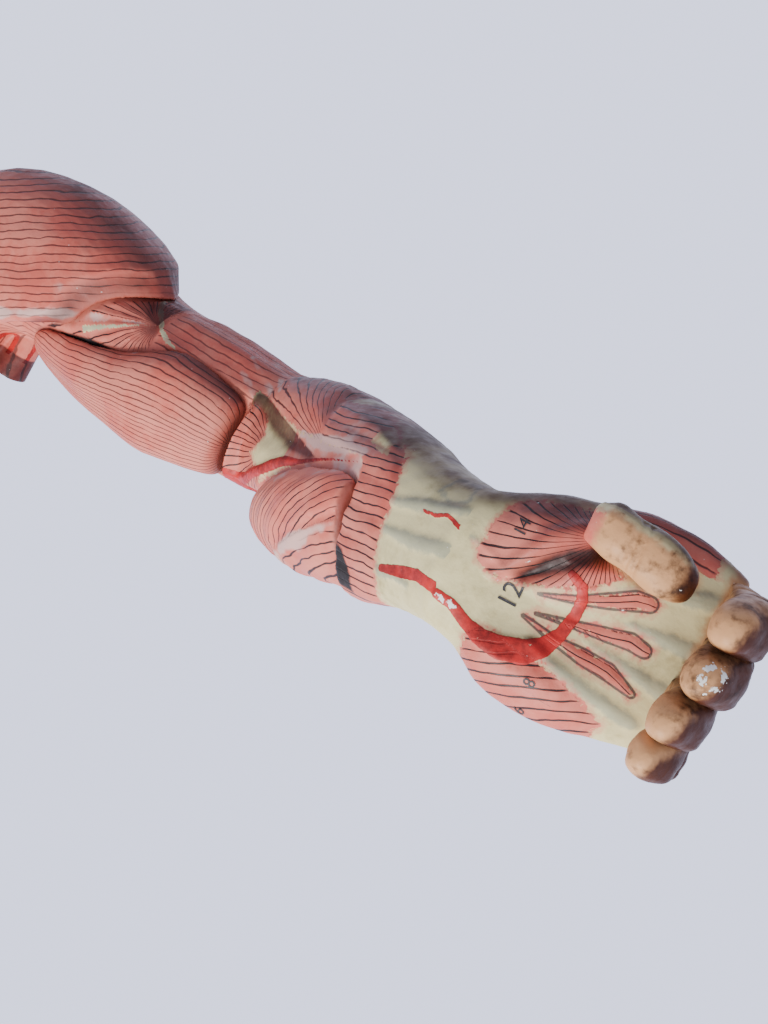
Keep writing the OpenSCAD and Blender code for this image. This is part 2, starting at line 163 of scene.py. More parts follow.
@dataclass(frozen=True)
class Stroke:
    """A painted or moulded line through places (across, along) of a limb."""

    places: Places
    half_widths: Sequence[float]

    def inside(self, x: np.ndarray, z: np.ndarray) -> np.ndarray:
        """Gives how far inside the stroke's edge each point lies, in millimetres."""
        best = np.full(x.shape, -1e3)
        for (a, b), (wa, wb) in zip(
            zip(self.places, self.places[1:]), zip(self.half_widths, self.half_widths[1:])
        ):
            ax, az, dx, dz = a[0], a[1], b[0] - a[0], b[1] - a[1]
            t = np.clip(((x - ax) * dx + (z - az) * dz) / (dx * dx + dz * dz), 0.0, 1.0)
            gap = np.hypot(x - ax - t * dx, z - az - t * dz)
            best = np.maximum(best, wa + (wb - wa) * t - gap)
        return best


@dataclass(frozen=True)
class Patch:
    """A painted area with a closed outline through places (across, along) of a limb."""

    outline: Places

    def inside(self, x: np.ndarray, z: np.ndarray) -> np.ndarray:
        """Gives how far inside the outline each point lies, in millimetres, negative outside."""
        gap = np.full(x.shape, 1e6)
        odd = np.zeros(x.shape, bool)
        ring = list(self.outline)
        for (ax, az), (bx, bz) in zip(ring, ring[1:] + ring[:1]):
            dx, dz = bx - ax, bz - az
            t = np.clip(((x - ax) * dx + (z - az) * dz) / (dx * dx + dz * dz), 0.0, 1.0)
            gap = np.minimum(gap, np.hypot(x - ax - t * dx, z - az - t * dz))
            crosses = (az > z) != (bz > z)
            odd ^= crosses & (x < ax + dx * (z - az) / (dz if dz else 1e-9))
        return np.where(odd, gap, -gap)


def fan(x: np.ndarray, z: np.ndarray, centre: tuple[float, float], step: float) -> np.ndarray:
    """Numbers lines that fan out from a centre, one each step of so many degrees.

    Args:
        x: places across.
        z: places along.
        centre: where the lines meet.
        step: degrees from line to line.

    Returns:
        Each point's number, whole on a line.
    """
    angle = np.degrees(np.arctan2(z - centre[1], x - centre[0])) % 360.0
    return angle / step


def sweep(x: np.ndarray, z: np.ndarray, heading: float, spacing: float) -> np.ndarray:
    """Numbers parallel lines that run at a heading in degrees from +x, a spacing apart.

    Args:
        x: places across.
        z: places along.
        heading: the lines' direction.
        spacing: distance from line to line.

    Returns:
        Each point's number, whole on a line.
    """
    a = math.radians(heading)
    return (z * math.cos(a) - x * math.sin(a)) / spacing


# --------------------------------------------------------------------------- coats of paint


@dataclass
class Coat:
    """What is painted at each point of a casting. Lengths are in millimetres."""

    size: int
    layers: dict[str, np.ndarray] = field(default_factory=dict)

    # some layers carry painted light: the shade and crevice layers are painted shade, the brown dirt layer is
    # partly painted shade and the pale layer is partly painted highlight
    STARTS = {
        "flesh": BARE,
        "skin": BARE,
        "vessel": BARE,
        "tendon": BARE,
        "outline": BARE,
        "fibre": 0.0,
        "strokes": 0.0,
        "shade": 0.0,
        "pale": 0.0,
        "crevice_shade": 0.0,
        "dirt_and_shade": 0.0,
        "flake": 0.0,
    }

    def __post_init__(self) -> None:
        """Starts every layer bare."""
        for name, start in self.STARTS.items():
            self.layers[name] = np.full(self.size, start)

    def add(self, name: str, values: np.ndarray) -> None:
        """Lays values over a layer wherever they are greater."""
        self.layers[name] = np.maximum(self.layers[name], values)

    def put(self, name: str, where: np.ndarray, values: np.ndarray | float) -> None:
        """Replaces a layer's values over an area."""
        self.layers[name] = np.where(where, values, self.layers[name])

    def fibres(self, where: np.ndarray, numbers: np.ndarray, weight: float = 1.0, soft: float = 1.6) -> None:
        """Draws numbered fibre lines over an area.

        Args:
            where: how far inside the area each point lies.
            numbers: the lines' numbers, whole on a line.
            weight: how dark the lines are.
            soft: width over which the lines fade out at the area's edge.
        """
        over = where > 0
        self.put("fibre", over, numbers)
        self.put("strokes", over, weight * smooth(0.0, soft, where))
        border = (where <= 0) & (where > -1.8)
        self.put("strokes", border, 0.0)


# --------------------------------------------------------------------------- shaders


class Number:
    """A number in a shader, with Python's operators."""

    def __init__(self, shader: "NodeTree", socket: bpy.types.NodeSocket) -> None:
        """Wraps a socket of a node tree."""
        self.shader = shader
        self.socket = socket

    def _maths(self, operation: str, *values: "Number | float") -> "Number":
        """Adds a Math node."""
        node = self.shader.node("ShaderNodeMath", {"operation": operation}, dict(enumerate(values)))
        return Number(self.shader, node.outputs[0])

    def __add__(self, other: "Number | float") -> "Number":
        """Adds."""
        return self._maths("ADD", self, other)

    __radd__ = __add__

    def __sub__(self, other: "Number | float") -> "Number":
        """Takes away."""
        return self._maths("SUBTRACT", self, other)

    def __rsub__(self, other: float) -> "Number":
        """Takes this away from a number."""
        return self._maths("SUBTRACT", other, self)

    def __mul__(self, other: "Number | float") -> "Number":
        """Multiplies."""
        return self._maths("MULTIPLY", self, other)

    __rmul__ = __mul__

    def __abs__(self) -> "Number":
        """Drops the sign."""
        return self._maths("ABSOLUTE", self)

    def fold(self, length: float) -> "Number":
        """Folds the number back and forth between 0 and a length."""
        return self._maths("PINGPONG", self, length)

    def ramp(self, low: float, high: float, start: float = 0.0, end: float = 1.0) -> "Number":
        """Goes smoothly from start at low to end at high."""
        node = self.shader.node(
            "ShaderNodeMapRange",
            {"interpolation_type": "SMOOTHSTEP"},
            {"Value": self, "From Min": low, "From Max": high, "To Min": start, "To Max": end},
        )
        return Number(self.shader, node.outputs[0])


class NodeTree:
    """A tree of shader nodes."""

    def __init__(self, tree: bpy.types.NodeTree) -> None:
        """Empties a tree to build in."""
        tree.nodes.clear()
        self.tree = tree

    def node(self, kind: str, settings: dict[str, object], inputs: dict[object, object]) -> bpy.types.Node:
        """Adds a node.

        Args:
            kind: the node's type.
            settings: properties, set before the inputs. A ramp's stops are under "stops".
            inputs: values or links by the socket's name or number.

        Returns:
            The node.
        """
        made = self.tree.nodes.new(kind)
        for name, value in settings.items():
            setattr(made, name, value)
        self.fill(made, inputs)
        return made

    def fill(self, made: bpy.types.Node, inputs: dict[object, object]) -> None:
        """Sets or links a node's sockets.

        Args:
            made: the node.
            inputs: values or links by the socket's name or number.
        """
        for key, value in inputs.items():
            if isinstance(value, Number):
                value = value.socket
            if isinstance(value, bpy.types.NodeSocket):
                self.tree.links.new(value, made.inputs[key])
            else:
                made.inputs[key].default_value = value


class Shader(NodeTree):
    """Builds one procedural material."""

    def __init__(self, name: str) -> None:
        """Starts an empty material with its output and surface nodes."""
        self.material = bpy.data.materials.new(name)
        self.material.use_nodes = True
        super().__init__(self.material.node_tree)
        self.surface = self.node("ShaderNodeBsdfPrincipled", {}, {})
        self.output = self.node("ShaderNodeOutputMaterial", {}, {"Surface": self.surface.outputs[0]})
        self.place = self.node("ShaderNodeTexCoord", {}, {}).outputs["Object"]

    def layer(self, name: str) -> Number:
        """Reads a layer of paint from the mesh."""
        return Number(self, self.node("ShaderNodeAttribute", {"attribute_name": name}, {}).outputs["Fac"])

    def noise(
        self, scale: float, detail: float = 3.0, stretch: Colour = (1.0, 1.0, 1.0), shift: float = 0.0
    ) -> Number:
        """Gives noise around 0, from about -0.3 to 0.3.

        Args:
            scale: how many features there are in a metre.
            detail: how many finer levels it has.
            stretch: scale along each axis.
            shift: offset that sets one noise apart from another.

        Returns:
            The noise.
        """
        spot = self.node(
            "ShaderNodeMapping",
            {},
            {"Vector": self.place, "Location": (shift, shift * 0.7, shift * 1.3), "Scale": stretch},
        )
        made = self.node(
            "ShaderNodeTexNoise", {}, {
                "Vector": spot.outputs[0], "Scale": scale, "Detail": detail, "Roughness": 0.6
            }
        )
        return Number(self, made.outputs[0]) - 0.5

    def mix(self, factor: Number, below: object, above: object, blend: str = "MIX") -> bpy.types.NodeSocket:
        """Lays a colour over another.

        Args:
            factor: how much of the upper colour shows.
            below: the lower colour or its socket.
            above: the upper colour or its socket.
            blend: the blend type.

        Returns:
            The mixed colour's socket.
        """
        colours = [c if isinstance(c, bpy.types.NodeSocket) else (*c, 1.0) for c in (below, above)]
        made = self.node(
            "ShaderNodeMix",
            {"data_type": "RGBA", "blend_type": blend, "clamp_factor": True},
            {0: factor, 6: colours[0], 7: colours[1]},
        )
        return made.outputs[2]

    def finish(self, inputs: dict[str, object]) -> bpy.types.Material:
        """Sets the surface's sockets and gives the material."""
        self.fill(self.surface, inputs)
        return self.material

    def relief(self, height: Number, depth: float) -> bpy.types.NodeSocket:
        """Turns a height into a bumped normal of so many metres' depth."""
        return self.node(
            "ShaderNodeBump", {}, {"Height": height, "Strength": 0.8, "Distance": depth}
        ).outputs[0]


@dataclass(frozen=True)
class PaintedPlaster:
    """Old oil paint and varnish over plaster, laid on by hand, with painted shade and painted highlight mixed
    into its colour.
    """

    cream: Colour = srgb(212, 199, 144)
    cream_stain: Colour = srgb(182, 168, 116)
    tendon_grey: Colour = srgb(152, 154, 128)
    muscle: Colour = srgb(199, 95, 77)
    muscle_light: Colour = srgb(212, 122, 101)
    muscle_deep: Colour = srgb(128, 30, 24)
    line: Colour = srgb(46, 24, 22)
    # pale rubbed paint; also laid as painted highlight on the deltoid's top and the flexors' inner side
    worn: Colour = srgb(200, 172, 160)
    shade: Colour = srgb(108, 86, 90)
    vessel: Colour = srgb(190, 40, 34)
    skin: Colour = srgb(200, 147, 98)
    # brown for real dirt specks and mottling of the skin, and for painted shade on the fingers and in the
    # thumb's valley
    dirt_and_shade_brown: Colour = srgb(98, 66, 38)
    ink: Colour = srgb(52, 50, 50)
    chip: Colour = srgb(226, 224, 214)
    # painted shade: near-black laid into gaps, creases and slots where shade falls
    crevice_shade_colour: Colour = srgb(26, 17, 14)
    line_half_width: float = 0.115
    roughness: float = 0.52

    def material(self, name: str) -> bpy.types.Material:
        """Mixes the paint for a piece whose mesh carries the layers of a coat.

        Args:
            name: the material's name.

        Returns:
            The material.
        """
        s = Shader(name)
        broad, fine, ragged = s.noise(28.0, 4.0), s.noise(210.0, 3.0, shift=2.0), s.noise(
            420.0, 2.0, shift=5.0
        )
        flesh, skin, vessel = s.layer("flesh"), s.layer("skin"), s.layer("vessel")
        tendon, outline = s.layer("tendon"), s.layer("outline")
        shade, pale, crevice_shade = s.layer("shade"), s.layer("pale"), s.layer("crevice_shade")

        ground = s.mix((broad + fine * 0.5).ramp(-0.04, 0.34), self.cream, self.cream_stain)
        banded = (tendon + fine * 5.0 + broad * 3.0).ramp(-0.9, 1.6, 0.0, 0.75)
        ground = s.mix(banded, ground, self.tendon_grey)

        tint = s.mix((broad * 1.4 + fine * 0.5).ramp(-0.25, 0.25), self.muscle, self.muscle_light)
        drift = s.noise(24.0, 1.0, shift=1.0) * 1.3 + s.noise(85.0, 1.0, shift=6.0) * 0.5 + fine * 0.08
        wave = (s.layer("fibre") + drift).fold(0.5) * 2.0
        breaks = s.noise(55.0, 2.0, shift=8.0)
        width = (breaks + 0.18).ramp(-0.08, 0.22, self.line_half_width * 0.35, self.line_half_width * 1.5)
        drawn = 1.0 - (wave - width).ramp(-0.05, 0.09)
        drawn = drawn * s.layer("strokes")
        # the pale layer: real rubbed wear, and painted highlight where a side faces the light
        wear_and_highlight = (s.noise(36.0, 3.0, shift=3.0) + pale * 0.42).ramp(0.2, 0.36, 0.0, 0.75)
        red = s.mix(wear_and_highlight, tint, self.worn)
        red = s.mix(drawn * (1.0 - wear_and_highlight * 0.6), red, self.line)
        rim = (flesh + ragged * 6.0 + fine * 7.0).ramp(-0.5, 0.7)
        colour = s.mix(rim, ground, red)
        colour = s.mix(((flesh + fine * 9.0).ramp(-3.2, -0.4)) * (1.0 - rim) * 0.4, colour, self.muscle_light)

        tan = s.mix((broad * 1.3 + fine).ramp(0.02, 0.42), self.skin, self.dirt_and_shade_brown)
        colour = s.mix((skin + fine * 6.0 + broad * 5.0).ramp(-1.5, 3.0), colour, tan)
        inked = 1.0 - (abs(outline) + fine * 0.8).ramp(0.3, 0.75)
        colour = s.mix(inked * 0.85, colour, self.ink)
        blood = s.mix((broad + fine).ramp(-0.2, 0.3), self.vessel, self.muscle_deep)
        flaked = (s.noise(150.0, 4.0, shift=7.0)).ramp(0.19, 0.23)
        poured = (vessel + ragged * 0.9).ramp(-0.15, 0.2) * (1.0 - flaked * 0.9)
        colour = s.mix(poured, colour, blood)

        # painted shade: darkens the sides turned from the light, under rims and in hollows
        colour = s.mix(shade * (broad * 1.2 + 0.95), colour, self.shade, "MULTIPLY")
        # brown darkening: painted shade on the fingers' sides turned from the light, between them and in the
        # thumb's valley, and darker ends of the thumb and index finger
        colour = s.mix(
            (s.layer("dirt_and_shade") + fine * 0.6 + broad * 0.9).ramp(0.1, 0.9), colour, self.dirt_and_shade_brown, "MULTIPLY"
        )
        colour = s.mix((s.layer("flake") + ragged * 1.6 + fine * 1.2).ramp(0.5, 0.62), colour, self.chip)
        chipped = (s.noise(95.0, 6.0, shift=11.0)).ramp(0.245, 0.262)
        colour = s.mix(chipped, colour, self.chip)
        dirt = (s.noise(330.0, 5.0, shift=4.0)).ramp(0.2, 0.3, 0.0, 0.45)
        colour = s.mix(dirt, colour, self.dirt_and_shade_brown)
        # painted shade: the crevice layer blackens gaps, creases and the edges of the muscles' beds
        colour = s.mix(crevice_shade, colour, self.crevice_shade_colour)

        height = fine * 0.5 + broad * 0.8 + drawn * -0.35 + poured * 0.5 + chipped * -0.8 + ragged * 0.12
        sheen = (broad + fine).ramp(-0.3, 0.3, self.roughness - 0.1, self.roughness + 0.14)
        return s.finish(
            {
                "Base Color": colour,
                "Roughness": sheen,
                "Normal": s.relief(height, 0.0007),
                "Specular IOR Level": 0.28,
                "Coat Weight": 0.05,
                "Coat Roughness": 0.35,
            }
        )


@dataclass(frozen=True)
class Metal:
    """Plain turned or drawn metal with fine wear."""

    colour: Colour
    tarnish: Colour
    roughness: float

    def material(self, name: str) -> bpy.types.Material:
        """Makes the metal's material.

        Args:
            name: the material's name.

        Returns:
            The material.
        """
        s = Shader(name)
        cloud, grain = s.noise(60.0, 4.0), s.noise(900.0, 2.0, stretch=(1.0, 0.12, 0.12), shift=3.0)
        colour = s.mix((cloud + grain * 0.4).ramp(-0.05, 0.3), self.colour, self.tarnish)
        rough = (cloud + grain).ramp(-0.4, 0.4, self.roughness - 0.1, self.roughness + 0.18)
        return s.finish(
            {
                "Base Color": colour,
                "Metallic": 1.0,
                "Roughness": rough,
                "Normal": s.relief(grain, 0.00015),
            }
        )


class MetalKind(Enum):
    """The metals of the fittings."""

    PIN_BRASS = Metal(srgb(196, 158, 92), srgb(120, 92, 52), 0.34)
    INNER_STEEL = Metal(srgb(138, 138, 140), srgb(92, 78, 66), 0.5)
    FITTING_STEEL = Metal(srgb(184, 184, 188), srgb(120, 118, 116), 0.36)


# --------------------------------------------------------------------------- castings


class Casting:
    """A plaster piece, remodelled from the plain solids that it stands for."""

    def __init__(self, name: str, nodes: Sequence[str], body: str, slot: str) -> None:
        """Names the piece.

        Args:
            name: the piece's name.
            nodes: the plain solids that it replaces.
            body: the body that it moves with.
            slot: the record's material slot; kept but not used.
        """
        self.name = name
        self.nodes = list(nodes)
        self.body = body
        self.slot = slot
        self.mesh: bpy.types.Mesh | None = None

    @staticmethod
    def merged(
        nodes: Sequence[str], planes: Sequence[tuple[np.ndarray, np.ndarray]] = ()
    ) -> bmesh.types.BMesh:
        """Copies solids into one mesh, welded where they meet on shared planes.

        Args:
            nodes: names of the solids.
            planes: point and normal of each plane on which two solids end face to face.

        Returns:
            The welded mesh.
        """
        bm = bmesh.new()
        for node in nodes:
            bm.from_mesh(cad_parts[node].data)
        bmesh.ops.remove_doubles(bm, verts=bm.verts, dist=WELD)
        for point, normal in planes:
            p, n = Vector(point), Vector(normal)
            caps = [f for f in bm.faces if all(abs((v.co - p).dot(n)) < SEAM for v in f.verts)]
            bmesh.ops.delete(bm, geom=caps, context="FACES_ONLY")
        bmesh.ops.remove_doubles(bm, verts=bm.verts, dist=SEAM)
        return bm

    @staticmethod
    def skinned(bm: bmesh.types.BMesh, voxel: float, rounds: int) -> bpy.types.Mesh:
        """Covers a closed mesh with an even skin of small faces.

        Args:
            bm: the mesh, which is freed.
            voxel: the faces' size.
            rounds: how many times the skin is smoothed.

        Returns:
            The skin.
        """
        rough = bpy.data.meshes.new("rough")
        bm.to_mesh(rough)
        bm.free()
        holder = bpy.data.objects.new("rough", rough)
        bpy.context.scene.collection.objects.link(holder)
        remesh = holder.modifiers.new("even_skin", "REMESH")
        remesh.mode = "VOXEL"
        remesh.voxel_size = voxel
        relax = holder.modifiers.new("rounding", "SMOOTH")
        relax.factor = 0.5
        relax.iterations = rounds
        ready = holder.evaluated_get(bpy.context.evaluated_depsgraph_get())
        skin = bpy.data.meshes.new_from_object(ready)
        bpy.data.objects.remove(holder)
        bpy.data.meshes.remove(rough)
        return skin

    def take(self, mesh: bpy.types.Mesh) -> None:
        """Uses a mesh as the piece's own."""
        self.mesh = mesh

    def _read(self, name: str) -> np.ndarray:
        """Reads a property of three numbers from each of the mesh's points."""
        values = np.empty(len(self.mesh.vertices) * 3, np.float32)
        self.mesh.vertices.foreach_get(name, values)
        return values.reshape(-1, 3).astype(float)

    def points(self) -> np.ndarray:
        """Gives the mesh's points, in metres."""
        return self._read("co")

    def normals(self) -> np.ndarray:
        """Gives the mesh's outward directions."""
        return self._read("normal")

    def press(self, height: np.ndarray) -> None:
        """Raises or sinks the surface by heights in millimetres."""
        moved = self.points() + self.normals() * height[:, None] * MM
        self.mesh.vertices.foreach_set("co", moved.astype(np.float32).ravel())
        self.mesh.update()

    def wear(self, coat: Coat) -> None:
        """Writes a coat's layers to the mesh."""
        for name, values in coat.layers.items():
            layer = self.mesh.attributes.new(name, "FLOAT", "POINT")
            layer.data.foreach_set("value", values.astype(np.float32))

    def place(self, material: bpy.types.Material) -> bpy.types.Object:
        """Puts the finished piece in the scene.

        Args:
            material: its material.

        Returns:
            The piece's object.
        """
        self.mesh.name = self.name
        self.mesh.polygons.foreach_set("use_smooth", np.ones(len(self.mesh.polygons), bool))
        self.mesh.materials.clear()
        self.mesh.materials.append(material)
        piece = bpy.data.objects.new(self.name, self.mesh)
        bpy.context.scene.collection.objects.link(piece)
        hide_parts(*self.nodes)
        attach(piece, self.body)
        LOG.info("%s: %d faces, rides on %s", self.name, len(self.mesh.polygons), self.body)
        return piece


def tree_of(node: str) -> BVHTree:
    """Gives a search tree of a plain solid's surface.

    Args:
        node: the solid's name.

    Returns:
        The search tree.
    """
    bm = bmesh.new()
    bm.from_mesh(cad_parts[node].data)
    tree = BVHTree.FromBMesh(bm)
    bm.free()
    return tree


def gap_to(node: str, points: np.ndarray, reach: float) -> np.ndarray:
    """Gives each point's distance to a plain solid in millimetres, at most reach metres.

    Args:
        node: the solid's name.
        points: points in metres.
        reach: greatest distance looked at, in metres.

    Returns:
        The distances.
    """
    tree = tree_of(node)
    return np.array([(tree.find_nearest(Vector(p), reach)[3] or reach) for p in points]) / MM


@dataclass
class ArmCasting:
    """The fixed casting of the upper arm, the forearm and the palm, made in one and then parted."""

    limbs: Limbs
    paint: bpy.types.Material
    voxel: float = 0.0013
    rounds: int = 8

    # Upper arm, places in (across, along)
    insertion = (9.0, -196.0)
    slot = Stroke([(-35, -134), (-27, -162), (-20, -189)], [1.2, 3.0, 0.8])
    worn_strokes = (
        Stroke([(21, -254), (14, -272), (8, -290)], [0.8, 2.2, 1.5]),
        Stroke([(27, -262), (21, -280), (15, -296)], [0.6, 2.0, 1.5]),
        Stroke([(32, -268), (28, -284), (23, -300)], [0.4, 1.6, 1.2]),
    )
    stump_fibres = Patch(
        [(3, -278), (7, -289), (5, -304), (-4, -312), (-12, -311), (-20, -306), (-21, -318), (-23, -329),
         (-34, -326), (-50, -312), (-66, -300), (-66, -278)]
    )
    stump_shadow = Patch(
        [(3, -281), (14, -284), (20, -300), (20, -345), (22, -374), (10, -368), (3, -345), (1, -320),
         (2, -300)]
    )
    # Forearm
    collar = Patch(
        [(38, -100), (39, -150), (33, -172), (27, -190), (18, -197), (8, -203), (-6, -204), (-20, -206),
         (-32, -207), (-50, -200), (-62, -188), (-62, -168), (0, -168), (12, -166), (12, -118)]
    )
    outer_belly = Patch(
        [(60, -4), (22, -6), (17, -14), (13, -38), (10, -88), (12, -121), (24, -122), (36, -103),
         (60, -96)]
    )
    hatched = Patch(
        [(36, -104), (44, -124), (40, -150), (28, -172), (20, -173), (18, -150), (14, -124), (24, -124)]
    )
    between = Patch(
        [(-8, -84), (9, -84), (12, -104), (13, -122), (16, -144), (18, -164), (12, -171), (4, -174),
         (-8, -150), (-16, -120)]
    )
    cream_wedge = Patch([(26, -160), (36, -158), (33, -172), (23, -180)])
    beside_artery = Patch(
        [(-64, -16), (-46, -22), (-30, -54), (-16, -82), (-6, -100), (-16, -124), (-40, -84), (-64, -54)]
    )
    # painted shade: the gap under the flexor group's free end is painted dark, not open
    flexor_gap = Patch([(-25, -172), (-27, -180), (-37, -187), (-45, -186), (-46, -171)])
    forearm_bands = (
        Stroke([(7, -203), (12, -222), (17, -241), (21, -252)], [2.5, 3.5, 3.2, 2.5]),
        Stroke([(-6, -207), (-3, -232), (2, -252)], [2.5, 4.0, 3.6]),
        Stroke([(-25, -210), (-22, -224), (-22, -234)], [2.5, 2.6, 1.5]),
        Stroke([(22, -226), (30, -227), (31, -240), (24, -247), (20, -238), (22, -227)], [1.0] * 6),
    )
    # Hand
    thenar = Patch(
        [(3, -8), (9, -5), (17, -6), (26, -8), (33, -12), (38, -19), (41, -30), (44, -42), (42, -50),
         (35, -54), (30, -60), (25, -66), (18, -60), (11, -49), (5, -34), (2, -24), (1, -15)]
    )
    thenar_focus = (35.0, -52.0)
    thenar_ridge = Stroke(
        [(2, -16), (9, -22), (21, -29), (28, -35), (33, -42), (35, -50)], [0.6, 1.2, 1.6, 1.8, 1.8, 1.0]
    )
    thenar_valley = Stroke([(7, -28), (15, -36), (22, -44), (29, -53)], [1.2, 3.2, 4.4, 3.4])
    hypothenar = Patch(
        [(-26, -16), (-20, -21), (-20, -31), (-22, -41), (-21, -50), (-24, -60), (-29, -73), (-34, -82),
         (-50, -78), (-62, -70), (-62, -18)]
    )
    rubbed_spots = Stroke([(-17, 1), (-19, -8)], [1.2, 1.2])
    hypothenar_stripe = Stroke([(-30, -18), (-33, -37), (-36, -56), (-37, -70)], [0.7, 0.8, 0.8, 0.6])
    lumbricals = (
        Stroke([(3, -37), (8, -52), (13, -63), (18, -73), (19, -78)], [0.4, 1.8, 3.2, 4.2, 3.4]),
        Stroke([(-5, -39), (-2, -55), (0, -67), (2, -78), (1, -84)], [0.4, 1.6, 2.8, 3.6, 3.0]),
        Stroke([(-8, -35), (-11, -50), (-12, -63), (-13, -75), (-17, -87)], [0.6, 1.6, 3.2, 3.6, 1.6]),
    )
    palm_bands = (
        Stroke([(19, -64), (26, -80), (30, -100)], [1.5, 3.4, 4.2]),
        Stroke([(8, -74), (9, -86), (9, -100)], [1.2, 2.8, 3.8]),
        Stroke([(-6, -62), (-9, -84), (-11, -98)], [1.0, 2.8, 3.8]),
        Stroke([(-17, -42), (-23, -64), (-28, -92)], [2.4, 3.2, 3.6]),
        Stroke([(12, -2), (9, -14), (3, -30)], [1.0, 2.0, 1.0]),
    )
    arch = Stroke(
        [(-17, 2), (-18, -6), (-22, -14), (-24, -22), (-24, -32), (-21, -42), (-16, -48), (-8, -52),
         (2, -54), (9, -54), (14, -52), (17, -46)],
        [2.4, 2.6, 3.0, 3.8, 5.0, 5.2, 4.2, 2.8, 2.4, 2.3, 2.2, 1.6],
    )
    elbow_artery = Stroke(
        [
            (-58, 22), (-49, 8), (-41, -4), (-36, -25), (-22, -59), (-16, -71), (-9, -87), (-4, -105),
            (7, -137), (14, -163)
        ],
        [3.0, 3.2, 3.4, 3.6, 3.4, 3.4, 3.2, 1.4, 0.7, 0.3],
    )
    ulnar_artery = Stroke([(-23, -212), (-19, -226), (-15, -240), (-15, -262)], [1.8, 2.8, 2.8, 2.6])
    radial_artery = Stroke(
        [(11, -227), (12, -236), (15, -243), (13, -252), (19, -262), (22, -270)],
        [0.8, 1.0, 0.9, 1.1, 1.0, 0.6]
    )

    def build(self) -> list[bpy.types.Object]:
        """Makes, paints and parts the casting.

        Returns:
            Its three pieces.
        """
        elbow, wrist = self.limbs.forearm.joint, self.limbs.hand.joint
        en, wn = self.limbs.elbow_normal, self.limbs.wrist_normal
        whole = Casting("arm_casting", [], "arm", "tendon_plaster")
        bm = Casting.merged(["upper_arm_core", "forearm_core", "palm"], [(elbow, en), (wrist, wn)])
        whole.take(Casting.skinned(bm, self.voxel, self.rounds))
        LOG.info("arm casting: %d points", len(whole.mesh.vertices))
        self._model(whole)
        whole.wear(self._coat(whole))
        pieces = []
        for name, node, slot, cuts in (
            ("upper_arm_casting", "upper_arm_core", "muscle_plaster", [(elbow, -en)]),
            ("forearm_casting", "forearm_core", "tendon_plaster", [(elbow, en), (wrist, -wn)]),
            ("palm_casting", "palm", "tendon_plaster", [(wrist, wn)]),
        ):
            part = Casting(name, [node], "arm", slot)
            part.take(self._parted(whole.mesh, cuts))
            pieces.append(part.place(self.paint))
        bpy.data.meshes.remove(whole.mesh)
        return pieces

    @staticmethod
    def _parted(mesh: bpy.types.Mesh, cuts: Sequence[tuple[np.ndarray, np.ndarray]]) -> bpy.types.Mesh:
        """Cuts a copy of the mesh off beyond planes, and closes it there.

        Args:
            mesh: the whole casting.
            cuts: each plane's point, and the direction that is cut away.

        Returns:
            The part that stays.
        """
        bm = bmesh.new()
        bm.from_mesh(mesh)
        for point, away in cuts:
            cut = bmesh.ops.bisect_plane(
                bm,
                geom=bm.verts[:] + bm.edges[:] + bm.faces[:],
                plane_co=Vector(point),
                plane_no=Vector(away),
                clear_outer=True,
            )
            rim = [e for e in cut["geom_cut"] if isinstance(e, bmesh.types.BMEdge)]
            bmesh.ops.holes_fill(bm, edges=rim)
            for edge in rim:
                edge.smooth = False
        part = bpy.data.meshes.new("part")
        bm.to_mesh(part)
        bm.free()
        return part

    def _clear(self, points: np.ndarray) -> np.ndarray:
        """Gives 1 away from the removable muscles' beds and 0 on them."""
        return smooth(1.2, 3.5, self._bed_gap(points, 0.005))

    @staticmethod
    def _bed_gap(points: np.ndarray, reach: float) -> np.ndarray:
        """Gives each point's distance to the nearest removable muscle, in millimetres."""
        return np.minimum.reduce([gap_to(name, points, reach) for name in REMOVABLE])

    def _model(self, piece: Casting) -> None:
        """Moulds the tendons, bellies, vessels and hollows.

        Args:
            piece: the casting.
        """
        p, n = piece.points(), piece.normals()
        a, f, h = self.limbs.arm.local(p), self.limbs.forearm.local(p), self.limbs.hand.local(p)
        fn, hn = self.limbs.forearm.turned(n), self.limbs.hand.turned(n)
        front_a, front_f, front_h = smooth(0.1, 0.6, -n[:, 1]), smooth(0.0, 0.5, -fn[:, 1]), smooth(
            0.0, 0.5, -hn[:, 1]
        )
        on_arm, on_fore, on_hand = self._zones(p)
        x, z = a[:, 0], a[:, 2]
        high = np.zeros(len(p))
        # the deltoid's insertion: folded fibres that run into one sunken point
        ray = fan(x, z, self.insertion, 13.0)
        reach = np.hypot(x - self.insertion[0], z - self.insertion[1])
        folds = (1.0 - 2.0 * np.abs((ray % 1.0) - 0.5)) * smooth(3.0, 14.0, reach) * smooth(70.0, 40.0, reach)
        high += on_arm * front_a * (z > self.insertion[1] - 6) * (1.3 * folds - 2.0 * bump(reach, 0.0, 8.0))
        ridge = Stroke([(22, -182), (15, -192), (9, -200), (5, -212), (4, -224)], [0.0] * 5).inside(x, z)
        high += on_arm * front_a * 1.6 * bump(ridge, 0.0, 3.5)
        # long bellies at the outer side of the upper arm
        turn = np.degrees(np.arctan2(a[:, 1], x)) % 360.0
        high += on_arm * smooth(-200.0, -215.0, z) * (x > 2) * 0.8 * np.sin(np.radians(turn * 9.0 + z * 0.9))
        back = smooth(-0.1, 0.4, n[:, 1]) * on_arm
        high += (
            back * (3.2 * bump(x, -28.0, 9.0) + 3.0 * bump(x, 12.0, 11.0) - 1.6 * bump(x, -8.0, 7.0))
            * smooth(-60.0, -110.0, z) * smooth(-300.0, -255.0, z)
        )
